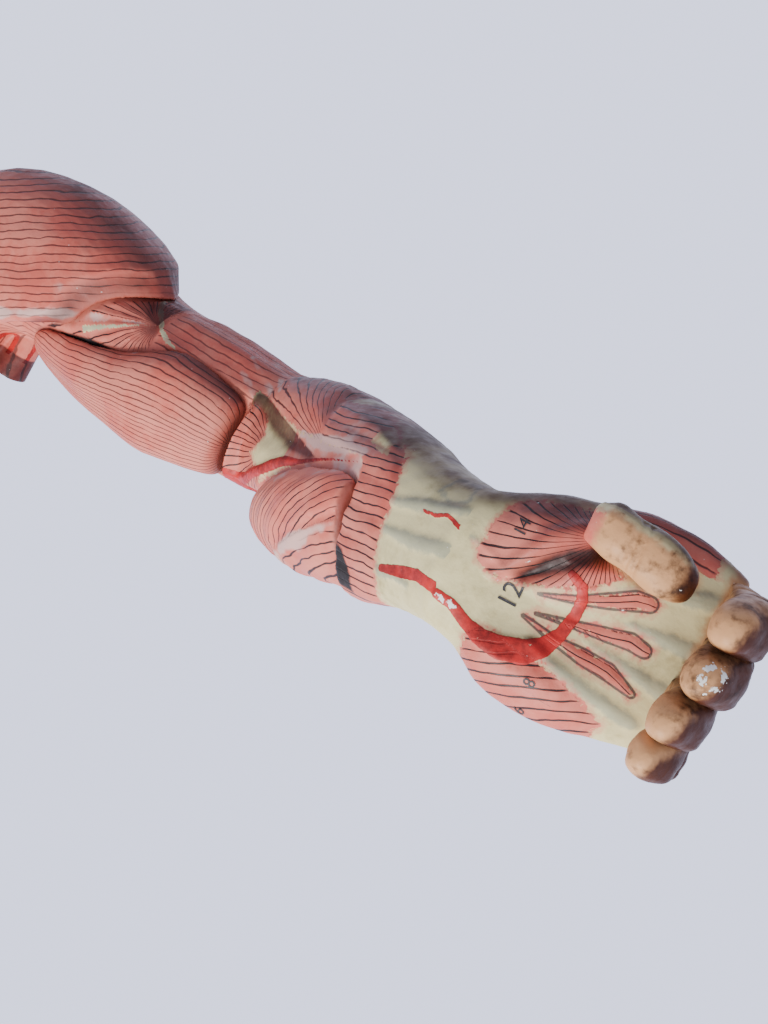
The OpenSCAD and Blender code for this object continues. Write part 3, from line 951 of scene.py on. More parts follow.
        # front of the elbow: raised stump, the patch that it runs into and the artery
        fx, fz = f[:, 0], f[:, 2]
        high += (
            (on_arm + on_fore) * front_f * 2.0 * bump(self.elbow_artery.inside(fx, fz), 2.6, 2.4)
            * smooth(26.0, 10.0, fz) * smooth(-168.0, -120.0, fz)
        )
        hollow = Patch([(6, -6), (14, -30), (9, -70), (4, -90), (-6, -70), (-8, -30)]).inside(fx, fz)
        high -= (on_arm + on_fore) * front_f * 3.4 * smooth(-6.0, 8.0, hollow)
        high += on_fore * front_f * 2.6 * smooth(0.0, 16.0, self.outer_belly.inside(fx, fz))
        # the forearm's collar of bellies and the tendons below it
        bellies = np.abs(np.sin(np.radians((fx + 4.0) * 12.0)))
        high += on_fore * front_f * smooth(0.0, 6.0, self.collar.inside(fx, fz)) * (0.7 + 0.9 * bellies)
        for band in self.forearm_bands[:3]:
            high += on_fore * front_f * 1.1 * smooth(-1.5, 3.0, band.inside(fx, fz))
        high += on_fore * smooth(-0.1, 0.5, fn[:, 1]) * 1.1 * np.sin(np.radians(fx * 11.0)) * smooth(
            -30.0, -60.0, fz
        )
        # the palm: pads, the ridge and valley of the thumb's muscles, spindles, tendons and arteries
        hx, hz = h[:, 0], h[:, 2]
        palm = on_hand * front_h
        high += palm * 2.3 * bump(self.thenar_ridge.inside(hx, hz), 1.2, 3.0)
        for shapes, lift, low, top in (
            ((self.thenar,), 1.6, 0.0, 9.0),
            ((self.thenar_valley,), -3.8, -5.0, 3.0),
            ((self.hypothenar,), 0.9, 0.0, 8.0),
            (self.lumbricals, 0.8, -0.5, 2.5),
            (self.palm_bands, 0.9, -1.5, 3.0),
            ((self.arch,), 0.8, -1.2, 1.2),
        ):
            for shape in shapes:
                high += palm * lift * smooth(low, top, shape.inside(hx, hz))
        knuckles = sum(bump(hx, k, 6.0) for k in (30.0, 9.0, -11.0, -29.0))
        high += on_hand * smooth(0.0, 0.6, hn[:, 1]) * (1.6 * knuckles * smooth(-40.0, -96.0, hz) - 0.4)
        high += 0.25 * np.sin(p[:, 0] * 310.0) * np.sin(p[:, 2] * 270.0 + 1.0) * np.sin(p[:, 1] * 290.0)
        piece.press(high * self._clear(p))

    def _zones(self, p: np.ndarray) -> tuple[np.ndarray, np.ndarray, np.ndarray]:
        """Gives how much each point belongs to the upper arm, the forearm and the hand.

        Args:
            p: points in metres.

        Returns:
            The three shares, each from 0 to 1.
        """
        above_elbow = smooth(-0.008, 0.008, (p - self.limbs.forearm.joint) @ self.limbs.elbow_normal)
        above_wrist = smooth(-0.005, 0.005, (p - self.limbs.hand.joint) @ self.limbs.wrist_normal)
        return above_elbow, (1.0 - above_elbow) * above_wrist, 1.0 - above_wrist

    def _coat(self, piece: Casting) -> Coat:
        """Paints the casting.

        Args:
            piece: the casting.

        Returns:
            The coat.
        """
        p, n = piece.points(), piece.normals()
        coat = Coat(len(p))
        a, f, h = self.limbs.arm.local(p), self.limbs.forearm.local(p), self.limbs.hand.local(p)
        fn, hn = self.limbs.forearm.turned(n), self.limbs.hand.turned(n)
        above = (p - self.limbs.forearm.joint) @ self.limbs.elbow_normal / MM
        past_wrist = -((p - self.limbs.hand.joint) @ self.limbs.wrist_normal) / MM
        self._coat_arm(coat, a, f, n, above)
        self._coat_forearm(coat, f, fn, above, past_wrist)
        self._coat_hand(coat, h, hn, past_wrist)
        # painted shade along the edges of the removable muscles' beds, where their gaps fall dark
        hidden = self._bed_gap(p, 0.004)
        coat.add("crevice_shade", 0.3 * smooth(3.0, 0.9, hidden))
        coat.layers["strokes"] *= smooth(0.9, 2.4, hidden)
        return coat

    def _coat_arm(self, coat: Coat, a: np.ndarray, f: np.ndarray, n: np.ndarray, above: np.ndarray) -> None:
        """Paints the upper arm's muscles, and the stump of the biceps across the elbow.

        Args:
            coat: the coat to paint.
            a: points in the upper arm's frame.
            f: points in the forearm's frame.
            n: outward directions.
            above: height over the elbow's plane.
        """
        x, y, z = a.T
        coat.add("flesh", np.where(above > -2.0, 20.0, BARE))
        turn = np.degrees(np.arctan2(y - 4.0, x + 16.0)) % 360.0
        coat.fibres(np.where(above > 0.0, above, BARE), turn / 7.0 + z * 0.02, 0.7)
        # fan of the insertion
        front = (n[:, 1] < 0.35) & (y < -6.0)
        radius = np.hypot(x - self.insertion[0], z - self.insertion[1])
        angle = np.degrees(np.arctan2(z - self.insertion[1], x - self.insertion[0])) % 360.0
        upper = np.minimum(
            z - (self.insertion[1] - 4.0 - 0.25 * np.maximum(self.insertion[0] - x, 0.0)), 90.0 - radius
        )
        area = np.where(front & (above > 0.0), upper, BARE)
        coat.fibres(area, angle / 7.5, 1.0)
        coat.add(
            "tendon",
            np.where(area > 0, np.minimum(3.0 - np.abs(angle - 125.5) * radius * 0.03, 60.0 - radius), BARE)
        )
        streak = (area > 0) & (np.abs(angle - 125.5) < 3.0) & (radius < 54.0)
        coat.put("flesh", streak, -4.0)
        band = (area > 0) & (np.abs(angle - 116.5) < 4.2) & (radius > 6.0)
        coat.put("strokes", band | streak, 0.0)
        coat.add("pale", np.where(band, 0.62, 0.0) + np.where((area > 0) & (angle > 130.0), 0.25, 0.0))
        coat.add(
            "shade",
            np.where(
                area > 0,
                0.95 * smooth(112.0, 66.0, angle) * smooth(52.0, 30.0, radius) + 0.7 * bump(radius, 0.0, 9.0),
                0.0
            )
        )
        # painted shade: the slot is painted dark
        coat.add("crevice_shade", np.where(front & (above > 0), smooth(-0.8, 1.0, self.slot.inside(x, z)), 0.0))
        ridge = Stroke(
            [(23, -182), (15, -192), (9, -200), (5, -212), (4, -222)],
            [2.4, 2.6, 2.2, 2.4, 1.2],
        ).inside(x, z)
        coat.add("tendon", np.where(front & (above > 0), ridge, BARE))
        coat.put("flesh", front & (above > 0) & (ridge > 0.5), -2.0)
        # outer side towards the elbow: worn grey tendon strokes
        for stroke in self.worn_strokes:
            coat.add(
                "pale", np.where(front & (z > -304.0), 0.6 * smooth(-3.0, 0.8, stroke.inside(x, z)), 0.0)
            )
        coat.add(
            "shade",
            np.where(above > 0.0, 0.5 * smooth(0.4, 0.95, n[:, 0]) + 0.3 * smooth(0.2, 0.9, n[:, 1]), 0.0)
        )
        coat.add("shade", np.where((z > -150.0) & (y > -2.0) & (x < -80.0), 1.0, 0.0))
        # stump of the biceps: fibres that gather into a pale tendon
        stump = np.where(n[:, 1] < 0.3, self.stump_fibres.inside(x, z), BARE)
        facing = (n[:, 1] < 0.3) & (z < -284.0) & (x < 14.0) & (y < 0.0)
        coat.put("flesh", facing, stump)
        coat.put("strokes", facing, 0.0)
        coat.fibres(np.where(facing, stump, BARE), fan(x, z, (-8.0, -326.0), 7.0), 1.0)
        coat.add("shade", np.where(facing, 1.0 * smooth(-3.5, 4.0, self.stump_shadow.inside(x, z)), 0.0))
        artery = self.elbow_artery.inside(f[:, 0], f[:, 2])
        coat.add("vessel", np.where((n[:, 1] < 0.5) & (f[:, 2] < 24.0), artery, BARE))
        medial = Stroke(
            [(-14, -56), (-4, -63), (5, -69), (12, -82), (17, -92)],
            [1.3, 1.4, 1.4, 1.2, 0.8],
        ).inside(y, z)
        coat.add("vessel", np.where((x < -62.0) & (x > -84.0) & (z > -94.0), medial, BARE))

    def _coat_forearm(
        self, coat: Coat, f: np.ndarray, fn: np.ndarray, above: np.ndarray, past_wrist: np.ndarray
    ) -> None:
        """Paints the forearm's muscles, tendons and arteries.

        Args:
            coat: the coat to paint.
            f: points in the forearm's frame.
            fn: outward directions in the forearm's frame.
            above: height over the elbow's plane.
            past_wrist: distance past the wrist's plane.
        """
        x, y, z = f.T
        here = (above < 0.0) & (past_wrist < 3.0)
        front = here & (fn[:, 1] < 0.35)
        belly = np.where(front, self.outer_belly.inside(x, z), BARE)
        coat.add("flesh", belly)
        coat.fibres(belly, fan(x, z, (9.0, -130.0), 4.2), 0.9)
        hatch = np.where(front, self.hatched.inside(x, z), BARE)
        coat.add("flesh", hatch)
        coat.fibres(hatch, (x + 0.3 * z) / 4.2, 0.95)
        coat.add("pale", np.where(hatch > 0, 0.55, 0.0))
        collar = np.where(front, self.collar.inside(x, z), BARE)
        coat.add("flesh", collar)
        coat.fibres(collar, (x + 0.14 * z) / 4.5, 1.0)
        wedge = self.cream_wedge.inside(x, z)
        coat.put("flesh", front & (wedge > -1.0), -wedge)
        coat.put("strokes", front & (wedge > -0.5), 0.0)
        drape = Stroke([(10, -92), (12, -120), (17, -142), (20, -164)], [2.0, 5.0, 5.0, 2.0]).inside(x, z)
        coat.add("pale", np.where(front, 0.95 * smooth(-3.0, 2.5, drape), 0.0))
        flank = np.where(front, self.beside_artery.inside(x, z), BARE)
        coat.add("flesh", flank)
        coat.add("pale", np.where(flank > 0, 0.45, 0.0))
        # painted shade: the flexor gap painted near-black
        coat.add("crevice_shade", np.where(front, 1.0 * smooth(-0.8, 0.8, self.flexor_gap.inside(x, z)), 0.0))
        middle = np.where(front, self.between.inside(x, z), BARE)
        coat.put("flesh", middle > 0, middle)
        coat.put("strokes", middle > 0, 0.0)
        coat.add("pale", np.where(middle > 0, 0.5, 0.0))
        ulnar = np.where(
            here & (x < -30.0) & ((z < -62.0) | (fn[:, 1] > 0.0)),
            np.minimum(z + 205.0 + 0.5 * np.minimum(y, 0.0), -z - 4.0), BARE
        )
        coat.add("flesh", ulnar)
        coat.fibres(np.where(collar > -2.0, BARE, ulnar), y / 4.4 + z * 0.02, 0.75)
        rear = np.where(here & (fn[:, 1] >= 0.35), z + 150.0 + 0.4 * x, BARE)
        coat.add("flesh", rear)
        coat.fibres(rear, x / 4.6 + z * 0.02, 0.7)
        for band in self.forearm_bands[:3]:
            coat.add("tendon", np.where(front, band.inside(x, z), BARE))
        loop = self.forearm_bands[3].inside(x, z)
        coat.add("tendon", np.where(front, loop, BARE))
        for k, centre in enumerate((-22.0, -6.0, 10.0, 24.0)):
            coat.add(
                "tendon",
                np.where(
                    here & (fn[:, 1] > 0.3) & (z < -120.0), 3.4 - np.abs(x - centre - 0.04 * z * (k - 1.5)),
                    BARE
                )
            )
        for artery in (self.ulnar_artery, self.radial_artery):
            coat.add("vessel", np.where(front & (z < -200.0), artery.inside(x, z), BARE))
        coat.add("shade", np.where(here, 0.95 * smooth(0.3, 0.85, fn[:, 0]), 0.0))
        coat.add("shade", np.where(here, 0.3 * smooth(0.3, 0.9, fn[:, 1]), 0.0))

    def _coat_hand(self, coat: Coat, h: np.ndarray, hn: np.ndarray, past_wrist: np.ndarray) -> None:
        """Paints the palm's muscles, tendons and arteries, and the back of the hand.

        Args:
            coat: the coat to paint.
            h: points in the hand's frame.
            hn: outward directions in the hand's frame.
            past_wrist: distance past the wrist's plane.
        """
        x, y, z = h.T
        here = past_wrist > -4.0
        front = here & (hn[:, 1] < 0.3)
        thenar = np.where(front, self.thenar.inside(x, z), BARE)
        coat.add("flesh", thenar)
        near = np.hypot(x - self.thenar_focus[0], z - self.thenar_focus[1])
        coat.fibres(thenar, fan(x, z, self.thenar_focus, 6.8) + near * 0.035, 1.0)
        coat.put("strokes", thenar > 0, coat.layers["strokes"] * smooth(3.0, 12.0, near))
        ridge = self.thenar_ridge.inside(x, z)
        coat.add("shade", np.where(thenar > 0, 0.3 * smooth(-4.0, 0.5, ridge), 0.0))
        coat.add("pale", np.where(thenar > 0, 0.35 * smooth(-1.0, 1.0, ridge), 0.0))
        # painted shade in the valley of the thumb's muscles, grey and brown
        coat.add("shade", np.where(thenar > 0, 0.9 * smooth(-6.0, 2.5, self.thenar_valley.inside(x, z)), 0.0))
        coat.add("dirt_and_shade", np.where(thenar > 0, 0.9 * smooth(-3.0, 2.5, self.thenar_valley.inside(x, z)), 0.0))
        hypo = np.where(here & (hn[:, 1] < 0.55), self.hypothenar.inside(x, z), BARE)
        coat.add("flesh", hypo)
        coat.fibres(hypo, sweep(x, z, -64.0, 4.7), 1.0)
        coat.add("outline", np.where(hypo > -2.0, self.hypothenar_stripe.inside(x, z) - 1.2, BARE))
        for spindle in self.lumbricals:
            inside = np.where(front, spindle.inside(x, z), BARE)
            coat.add("flesh", inside + 0.3)
            middle = np.interp(
                -z, [-place[1] for place in spindle.places], [place[0] for place in spindle.places]
            )
            coat.fibres(inside, (x - middle) / 3.0, 1.0, 0.8)
            coat.add("outline", inside)
        for band in self.palm_bands:
            coat.add("tendon", np.where(front, band.inside(x, z), BARE))
        for centre in (29.0, 9.0, -11.0, -29.0):
            splay = 0.0036 * centre * (z + 100.0)
            coat.add("tendon", np.where(here & (hn[:, 1] > 0.35), 2.8 - np.abs(x - centre - splay), BARE))
        coat.add("vessel", np.where(front, self.arch.inside(x, z), BARE))
        web = np.where(here & (x > 38.0) & (hn[:, 0] > 0.25), np.minimum(-z - 48.0, z + 96.0), BARE)
        coat.add("flesh", web)
        coat.fibres(web, y / 3.6 + z * 0.03, 0.9)
        coat.add(
            "shade",
            np.where(here, 0.95 * smooth(0.3, 0.85, hn[:, 0]) + 0.3 * smooth(0.3, 0.9, hn[:, 1]), 0.0)
        )
        coat.add("flake", np.where(front, 0.75 * smooth(-2.0, 2.0, self.rubbed_spots.inside(x, z)), 0.0))
        skin = Patch(
            [(42, -46), (34, -50), (27, -57), (23, -66), (23, -78), (30, -92), (38, -92), (44, -80),
             (48, -66), (46, -52)]
        ).inside(x, z)
        coat.add("skin", np.where(front, skin, BARE))
        tips = -z - 100.0
        coat.add("skin", np.where(front, tips, BARE))


@dataclass
class Digit:
    """The thumb or a finger."""

    name: str
    node: str
    limbs: Limbs
    paint: bpy.types.Material
    knuckle: float
    voxel: float = 0.00075
    rounds: int = 6

    def build(self) -> bpy.types.Object:
        """Makes and paints the digit.

        Returns:
            Its piece.
        """
        piece = Casting(self.name, [self.node], "arm", "skin_plaster")
        piece.take(Casting.skinned(Casting.merged([self.node]), self.voxel, self.rounds))
        p, n = piece.points(), piece.normals()
        h, hn = self.limbs.hand.local(p), self.limbs.hand.turned(n)
        x, y, z = h.T
        base = -z - self.knuckle
        centre = float(x.mean())
        if self.node == "thumb":
            crease = bump(base, 20.0, 1.3) + bump(base, 23.5, 1.0)
            pads = bump(base, 32.0, 9.0) * 0.8 + bump(base, 10.0, 8.0) * 0.5
            high = pads - 0.9 * crease * smooth(-0.1, -0.5, hn[:, 1])
            nail = bump(base, 35.0, 6.5) * smooth(0.2, 0.7, hn[:, 0]) * smooth(-0.9, 0.1, hn[:, 1])
            high -= 0.6 * nail + 2.5 * smooth(44.0, 52.0, x) * smooth(-88.0, -62.0, z)
        else:
            forward = -y
            crease = bump(forward, 26.0, 1.3) + bump(forward, 12.0, 1.3)
            high = 0.9 * bump(forward, 34.0, 7.0) - 0.9 * crease
            high += 0.7 * bump(forward, 20.0, 5.0)
            high += 2.0 * smooth(0.25, 0.85, np.abs(hn[:, 0])) * smooth(46.0, 30.0, forward)
            nail = smooth(0.25, 0.8, -hn[:, 2]) * bump(forward, 44.0, 5.0) * bump(x, centre, 5.5)
            high -= 0.5 * nail
        high += 0.3 * np.sin(p[:, 0] * 420.0 + 1.0) * np.sin(p[:, 2] * 390.0) * np.sin(p[:, 1] * 410.0)
        piece.press(high)
        coat = Coat(len(p))
        if self.node == "thumb":
            coat.add("skin", np.clip(np.minimum(46.5 + 0.2 * (z + 62.0) - x, -z - 48.5), -9.0, 9.0))
            coat.add("flesh", np.minimum(z + 54.0, 45.0 - x))
            coat.add("shade", 0.95 * smooth(0.35, 0.85, hn[:, 0]) + 0.25 * smooth(-0.2, 0.7, hn[:, 1]))
            # darker towards its tip on the palm side
            coat.add("dirt_and_shade", 0.9 * smooth(-79.0, -90.0, z) * smooth(0.2, -0.5, hn[:, 1]))
        else:
            coat.add("skin", np.full(len(p), 9.0))
            # brown painted shade on each finger's side turned from the light and towards its neighbours, over
            # a slight even darkening
            valley = smooth(5.0, 9.5, np.abs(x - centre + 2.0))
            turned_away = hn @ np.array([-0.3, 0.25, -0.92])
            coat.add("dirt_and_shade", np.minimum(1.1, 0.12 + 0.95 * smooth(-0.15, 0.8, turned_away) + 0.45 * valley))
            coat.add("shade", 0.3 * smooth(0.2, 0.9, turned_away))
            if self.node == "index_finger":
                # darker towards its end
                coat.add("dirt_and_shade", 0.55 * smooth(-105.0, -118.0, z))
            if self.node == "middle_finger":
                ring = np.hypot(x - 9.0, z + 110.0)
                coat.add("flake", 0.52 * bump(ring, 3.5, 3.2) * smooth(-0.2, -0.7, hn[:, 1]))
            # painted shade in the fingers' joint creases
            coat.add("crevice_shade", 0.55 * smooth(0.1, 1.0, crease) * smooth(-0.2, -0.8, hn[:, 1]))
        piece.wear(coat)
        return piece.place(self.paint)


@dataclass
class LiftOffMuscle:
    """A muscle that lifts off its pins."""

    name: str
    node: str
    body: str
    limbs: Limbs
    paint: bpy.types.Material
    dress: Callable[["LiftOffMuscle", Casting, Coat], np.ndarray]
    voxel: float = 0.0012
    rounds: int = 5

    def build(self) -> bpy.types.Object:
        """Makes and paints the muscle.

        Returns:
            Its piece.
        """
        piece = Casting(self.name, [self.node], self.body, "muscle_plaster")
        piece.take(Casting.skinned(Casting.merged([self.node]), self.voxel, self.rounds))
        coat = Coat(len(piece.mesh.vertices))
        coat.add("flesh", np.full(coat.size, 20.0))
        piece.press(self.dress(self, piece, coat))
        piece.wear(coat)
        return piece.place(self.paint)

    def core_gap(self, core: str, piece: Casting) -> np.ndarray:
        """Gives each point's height over the casting that the muscle lies on, in millimetres."""
        return gap_to(core, piece.points(), 0.02)

    @staticmethod
    def slices(along: np.ndarray, values: np.ndarray) -> np.ndarray:
        """Gives the smooth middle of values at each place along the muscle."""
        fit = np.polynomial.Polynomial.fit(along, values, 4)
        return fit(along)

    def dress_deltoid(self, piece: Casting, coat: Coat) -> np.ndarray:
        """Draws the deltoid's long level fibres, its worn band, its free rim darkened with painted shade,
        painted shade on its far side and a painted highlight on its top.

        Args:
            piece: the piece.
            coat: the coat to paint.

        Returns:
            Heights to raise the surface by, in millimetres.
        """
        a, n = self.limbs.arm.local(piece.points()), piece.normals()
        across = a @ np.array([0.836, -0.279, 0.4725])
        gap = self.core_gap("upper_arm_core", piece)
        outside = smooth(3.0, 8.0, gap)
        down = np.degrees(np.arctan2(a[:, 1] - 2.0, a[:, 2] + 215.0))
        coat.layers["fibre"] = np.where(a[:, 1] > 12.0, down / 4.2, across / 5.0)
        coat.layers["strokes"] = 0.8 * outside * (1.0 - bump(a[:, 1], 12.0, 1.6))
        rim = smooth(16.6, 9.0, gap) * outside
        front_rim = rim * smooth(0.15, 0.5, n @ np.array([-0.45, -0.35, -0.82]))
        coat.add("shade", 0.75 * front_rim + 0.5 * (1.0 - outside))
        far = n @ np.array([0.94, 0.2, -0.27])
        coat.add("shade", 0.9 * smooth(0.1, 0.8, far))
        worn = bump(across, -68.0, 5.0) * smooth(4.0, -18.0, a[:, 0]) * smooth(0.2, 0.6, -n[:, 1])
        coat.add("pale", 0.9 * worn)
        # painted highlight: paler where its inner half faces upwards
        top = smooth(0.45, 0.95, n @ np.array([0.35, 0.1, 0.93])) * smooth(-10.0, -40.0, a[:, 0])
        coat.add("pale", 0.7 * top)
        bundles = np.sin(across / 5.7 * math.pi / 2.5)
        return outside * (0.35 * bundles) * smooth(16.0, 17.4, gap) + 0.2 * np.sin(a[:, 0] / 9.0) * outside

    def dress_biceps(self, piece: Casting, coat: Coat) -> np.ndarray:
        """Draws the biceps' fibres from end to end, painted shade on its outer side and painted shade in the
        crease at its lower end.

        Args:
            piece: the piece.
            coat: the coat to paint.

        Returns:
            Heights to raise the surface by, in millimetres.
        """
        a, n = self.limbs.arm.local(piece.points()), piece.normals()
        x, y, z = a.T
        cx, cy = self.slices(z, x), self.slices(z, y)
        turn = np.degrees(np.arctan2(y - cy - 6.0, x - cx)) % 360.0
        gap = self.core_gap("upper_arm_core", piece)
        outside = smooth(1.0, 3.5, gap)
        coat.layers["fibre"] = turn / 8.2 + 0.004 * (z + 200.0)
        coat.layers["strokes"] = 0.85 * outside
        end = smooth(-272.0, -284.0, z)
        coat.add("shade", 0.9 * smooth(0.4, 0.9, n[:, 0]) + 0.3 * end)
        # painted shade in the crease at the lower end
        coat.add("crevice_shade", 0.55 * smooth(-279.5, -284.0, z) * smooth(0.2, 0.8, -n[:, 2]))
        spot = bump(z, -199.0, 6.0) * bump(x, -6.0, 10.0)
        coat.add("pale", 0.8 * spot + 0.3 * bump(z, -106.0, 10.0))
        bundles = np.sin(np.radians(turn * 6.0))
        return outside * 0.4 * bundles * smooth(-284.0, -270.0, z) * smooth(-108.0, -125.0, z)

    def dress_flexors(self, piece: Casting, coat: Coat) -> np.ndarray:
        """Draws the flexors' fanned fibres, the pale streaks between them, a painted highlight on their inner
        side and the free end darkened with painted shade.

        Args:
            piece: the piece.
            coat: the coat to paint.

        Returns:
            Heights to raise the surface by, in millimetres.
        """
        f = self.limbs.forearm.local(piece.points())
        fn = self.limbs.forearm.turned(piece.normals())
        x, y, z = f.T
        gap = self.core_gap("forearm_core", piece)
        outside = smooth(1.0, 3.5, gap)
        u = -(z + 100.0) / 70.0
        upper = (x - 70.0 * (1.5 * u - 0.4 * u * u)) / 5.4
        below = -54.0 - 0.64 * (z + 110.0) - x
        coat.layers["fibre"] = np.where(below > 0, (x + 0.55 * z) / 4.8, upper)
        end = smooth(0.45, 0.8, -fn[:, 2]) * smooth(-150.0, -164.0, z)
        edge = 0.9 * x - 0.3 * y + 0.36 * (z + 45.0)
        brow = smooth(-31.0, -23.0, edge)
        streak = bump(below, 2.0, 4.2)
        coat.layers["strokes"] = outside * (1.0 - end) * (1.0 - brow) * (1.0 - smooth(0.6, 0.9, streak))
        coat.add("pale", 0.55 * brow)
        coat.add("pale", 0.95 * streak * outside)
        # painted highlight: paler on the inner side of the upper part, which is turned to the light
        coat.add("pale", 0.7 * smooth(0.35, 0.9, -fn[:, 0]) * smooth(-130.0, -70.0, z))
        # painted shade on the free end
        coat.add("shade", 0.7 * end)
        folds = 0.5 * np.sin(upper * math.pi / 2.0) - 1.2 * bump(below, -3.0, 2.5)
        return outside * folds * (1.0 - end)


# --------------------------------------------------------------------------- key numbers


@dataclass(frozen=True)
class KeyNumber:
    """A small painted key number on a casting."""

    value: str
    limb: Limb
    place: tuple[float, float]
    height: float
    body: str
    slot: str
    above: float = 0.09  # where the search for the surface starts, in metres before the limb's middle
    search: float = 0.12
    film: float = 0.0003

    def build(
        self, targets: Sequence[bpy.types.Object], paint: bpy.types.Material
    ) -> bpy.types.Object | None:
        """Paints the number on the surface that faces the palm's side.

        Args:
            targets: the pieces that may carry it.
            paint: its material.

        Returns:
            The number's piece, or None where nothing carries it.
        """
        letters = bpy.data.curves.new(f"key_{self.value}", "FONT")
        letters.body = self.value
        letters.size = self.height * 1.35
        letters.align_x, letters.align_y = "CENTER", "CENTER"
        letters.resolution_u = 3
        letters.space_character = 0.95
        holder = bpy.data.objects.new("letters", letters)
        bpy.context.scene.collection.objects.link(holder)
        flat = bpy.data.meshes.new_from_object(holder.evaluated_get(bpy.context.evaluated_depsgraph_get()))
        bpy.data.objects.remove(holder)
        bpy.data.curves.remove(letters)
        bm = bmesh.new()
        bm.from_mesh(flat)
        bpy.data.meshes.remove(flat)
        bmesh.ops.triangulate(bm, faces=bm.faces)
        bmesh.ops.subdivide_edges(bm, edges=bm.edges, cuts=4)
        away = Vector(-self.limb.axes[1])
        right, up = Vector(-self.limb.axes[2]), Vector(self.limb.axes[0])
        start = Vector(self.limb.world((self.place[0], 0.0, self.place[1])))
        trees = [
            BVHTree.FromPolygons([v.co for v in t.data.vertices], [p.vertices for p in t.data.polygons])
            for t in targets
        ]
        for v in bm.verts:
            spot = start - right * v.co.y + up * v.co.x
            hits = [t.ray_cast(spot + away * self.above, -away, self.search) for t in trees]
            hits = [h for h in hits if h[0] is not None]
            if not hits:
                bm.free()
                return None
            hit = min(hits, key=lambda h: h[3])
            v.co = hit[0] + hit[1] * self.film
        bmesh.ops.recalc_face_normals(bm, faces=bm.faces)
        if sum((f.normal.dot(away) for f in bm.faces)) < 0:
            bmesh.ops.reverse_faces(bm, faces=bm.faces)
        mesh = bpy.data.meshes.new(f"key_number_{self.value}")
        bm.to_mesh(mesh)
        bm.free()
        mesh.materials.append(paint)
        piece = bpy.data.objects.new(mesh.name, mesh)
        bpy.context.scene.collection.objects.link(piece)
        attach(piece, self.body)
        LOG.info("%s: painted", piece.name)
        return piece


def key_paint() -> bpy.types.Material:
    """Makes the thin black paint of the key numbers.

    Returns:
        The material.
    """
    s = Shader("key_number_paint")
    colour = s.mix(s.noise(700.0, 3.0).ramp(0.05, 0.3), srgb(44, 42, 42), srgb(104, 98, 92))
    return s.finish({"Base Color": colour, "Roughness": 0.6})


# --------------------------------------------------------------------------- fittings and studio


class Fittings:
    """The metal pins, sockets, rods, wires and the shoulder's plate, stud and screws."""

    KINDS = {
        MetalKind.PIN_BRASS: (
            "deltoid_pins", "biceps_pins", "flexor_pins",
            "deltoid_sockets", "biceps_sockets", "flexor_sockets",
        ),
        MetalKind.INNER_STEEL: ("humerus_rod", "radius_rod", "ulna_rod", "finger_wires", "thumb_wire"),
        MetalKind.FITTING_STEEL: ("shoulder_plate", "shoulder_stud", "plate_screws"),
    }

    def dress(self) -> None:
        """Gives each metal piece its material."""
        for kind, names in self.KINDS.items():
            material = kind.value.material(kind.name.lower())
            for name in names:
                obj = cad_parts[name]
                for slot in obj.material_slots:
                    slot.material = material
                LOG.info("%s: %s", name, kind.name.lower())


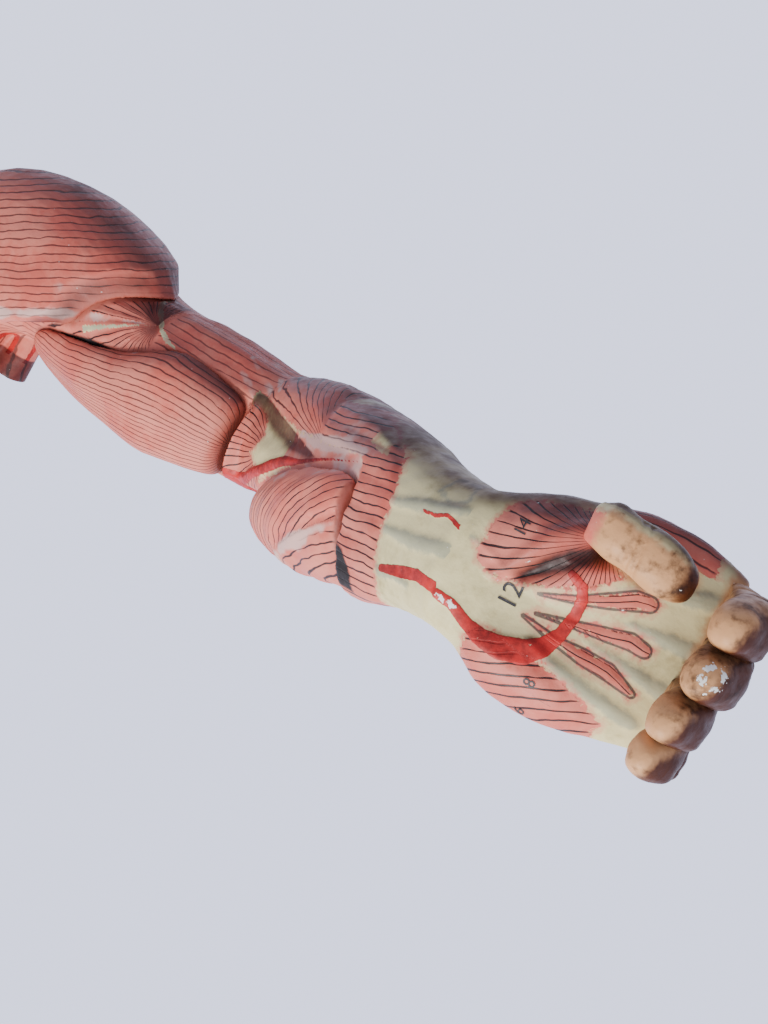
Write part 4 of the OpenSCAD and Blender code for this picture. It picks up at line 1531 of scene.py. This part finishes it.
@dataclass(frozen=True)
class Studio:
    """The camera, the soft lights and the pale floor."""

    eye: tuple[float, float, float] = (0.205, -0.577, -0.547)
    view: tuple[float, float, float] = (-0.176, 0.943, 0.284)
    up: tuple[float, float, float] = (0.819, -0.02, 0.573)
    lens: float = 33.4
    centre: tuple[float, float, float] = (0.1, -0.05, -0.26)
    floor_z: float = -1.6
    backdrop: Colour = srgb(212, 217, 246)
    sweep: float = 2.15
    room: float = 0.86

    def set_camera(self) -> None:
        """Sets the camera up."""
        view = Vector(self.view).normalized()
        right = view.cross(Vector(self.up)).normalized()
        up = right.cross(view)
        data = bpy.data.cameras.new("camera")
        data.lens = self.lens
        data.sensor_width = 36.0
        data.clip_start = 0.01
        camera = bpy.data.objects.new("camera", data)
        turn = Matrix((right, up, -view)).transposed().to_4x4()
        camera.matrix_world = Matrix.Translation(Vector(self.eye)) @ turn
        bpy.context.scene.collection.objects.link(camera)
        bpy.context.scene.camera = camera

    def light(
        self, name: str, offset: tuple[float, float, float], size: float, power: float, colour: Colour
    ) -> None:
        """Adds a soft light that faces the model.

        Args:
            name: the light's name.
            offset: its place from the model's middle.
            size: its side.
            power: its power in watts.
            colour: its colour.
        """
        data = bpy.data.lights.new(name, "AREA")
        data.size = size
        data.energy = power
        data.color = colour
        lamp = bpy.data.objects.new(name, data)
        place = Vector(self.centre) + Vector(offset)
        lamp.location = place
        lamp.rotation_euler = (Vector(self.centre) - place).to_track_quat("-Z", "Y").to_euler()
        bpy.context.scene.collection.objects.link(lamp)

    def _sky(self) -> None:
        """Makes the soft surroundings: a bright sweep on the far side and a dimmer room in front."""
        world = bpy.data.worlds.new("studio")
        world.use_nodes = True
        sky = NodeTree(world.node_tree)
        spot = sky.node("ShaderNodeTexCoord", {}, {}).outputs["Generated"]
        far_side = Vector(self.view).normalized()
        along = sky.node("ShaderNodeVectorMath", {"operation": "DOT_PRODUCT"}, {0: spot, 1: far_side})
        strength = Number(sky, along.outputs["Value"]).ramp(0.1, 0.75, self.room, self.sweep)
        glow = sky.node("ShaderNodeBackground", {}, {"Color": (*self.backdrop, 1.0), "Strength": strength})
        sky.node("ShaderNodeOutputWorld", {}, {"Surface": glow.outputs[0]})
        bpy.context.scene.world = world

    def build(self) -> None:
        """Lights the scene and lays the floor."""
        self._sky()
        self.light("key_light", (-1.15, -0.8, -0.2), 0.7, 34.0, (1.0, 0.985, 0.96))
        self.light("low_light", (-0.3, -0.7, -0.9), 0.9, 5.0, (0.98, 0.99, 1.0))
        bm = bmesh.new()
        bmesh.ops.create_circle(bm, cap_ends=True, cap_tris=False, segments=96, radius=4.0)
        bmesh.ops.translate(bm, verts=bm.verts, vec=(0.0, 0.0, self.floor_z))
        mesh = bpy.data.meshes.new("floor")
        bm.to_mesh(mesh)
        bm.free()
        s = Shader("pale_floor")
        clear = s.node("ShaderNodeBsdfTransparent", {}, {})
        spread = s.node("ShaderNodeVectorMath", {"operation": "LENGTH"}, {0: s.place})
        away = Number(s, spread.outputs["Value"]).ramp(0.9, 2.2)
        fade = s.node("ShaderNodeMixShader", {}, {0: away, 1: s.surface.outputs[0], 2: clear.outputs[0]})
        s.fill(s.output, {"Surface": fade.outputs[0]})
        mesh.materials.append(s.finish({"Base Color": (*self.backdrop, 1.0), "Roughness": 0.9}))
        floor = bpy.data.objects.new("floor", mesh)
        bpy.context.scene.collection.objects.link(floor)


# --------------------------------------------------------------------------- assembly


def main() -> None:
    """Builds the studio, the castings, the lift-off muscles and the fittings."""
    logging.basicConfig(level=logging.INFO, format="%(name)s: %(message)s")
    studio = Studio()
    studio.set_camera()
    studio.build()
    limbs = Limbs(ArmMeasures())
    paint = PaintedPlaster().material("painted_plaster")
    pieces = ArmCasting(limbs, paint).build()
    for name, knuckle in (
        ("thumb", 44.0), ("index_finger", 105.0), ("middle_finger", 104.0), ("ring_finger", 100.0),
        ("little_finger", 99.0)
    ):
        pieces.append(Digit(f"{name}_casting", name, limbs, paint, knuckle).build())
    for name, body, dress in (
        ("deltoid", "deltoid_cap", LiftOffMuscle.dress_deltoid),
        ("biceps", "biceps_muscle", LiftOffMuscle.dress_biceps),
        ("flexor_group", "flexor_muscle", LiftOffMuscle.dress_flexors),
    ):
        LiftOffMuscle(f"{name}_casting", name, body, limbs, paint, dress).build()
    ink = key_paint()
    for value, place, height in (
        ("12", (-3.0, -27.0), 0.009), ("14", (25.0, -20.0), 0.006), ("8", (-31.0, -50.0), 0.0055),
        ("6", (-46.0, -50.0), 0.0055)
    ):
        KeyNumber(value, limbs.hand, place, height, "arm", "tendon_plaster").build(pieces, ink)
    Fittings().dress()


if __name__ == "__main__":
    main()
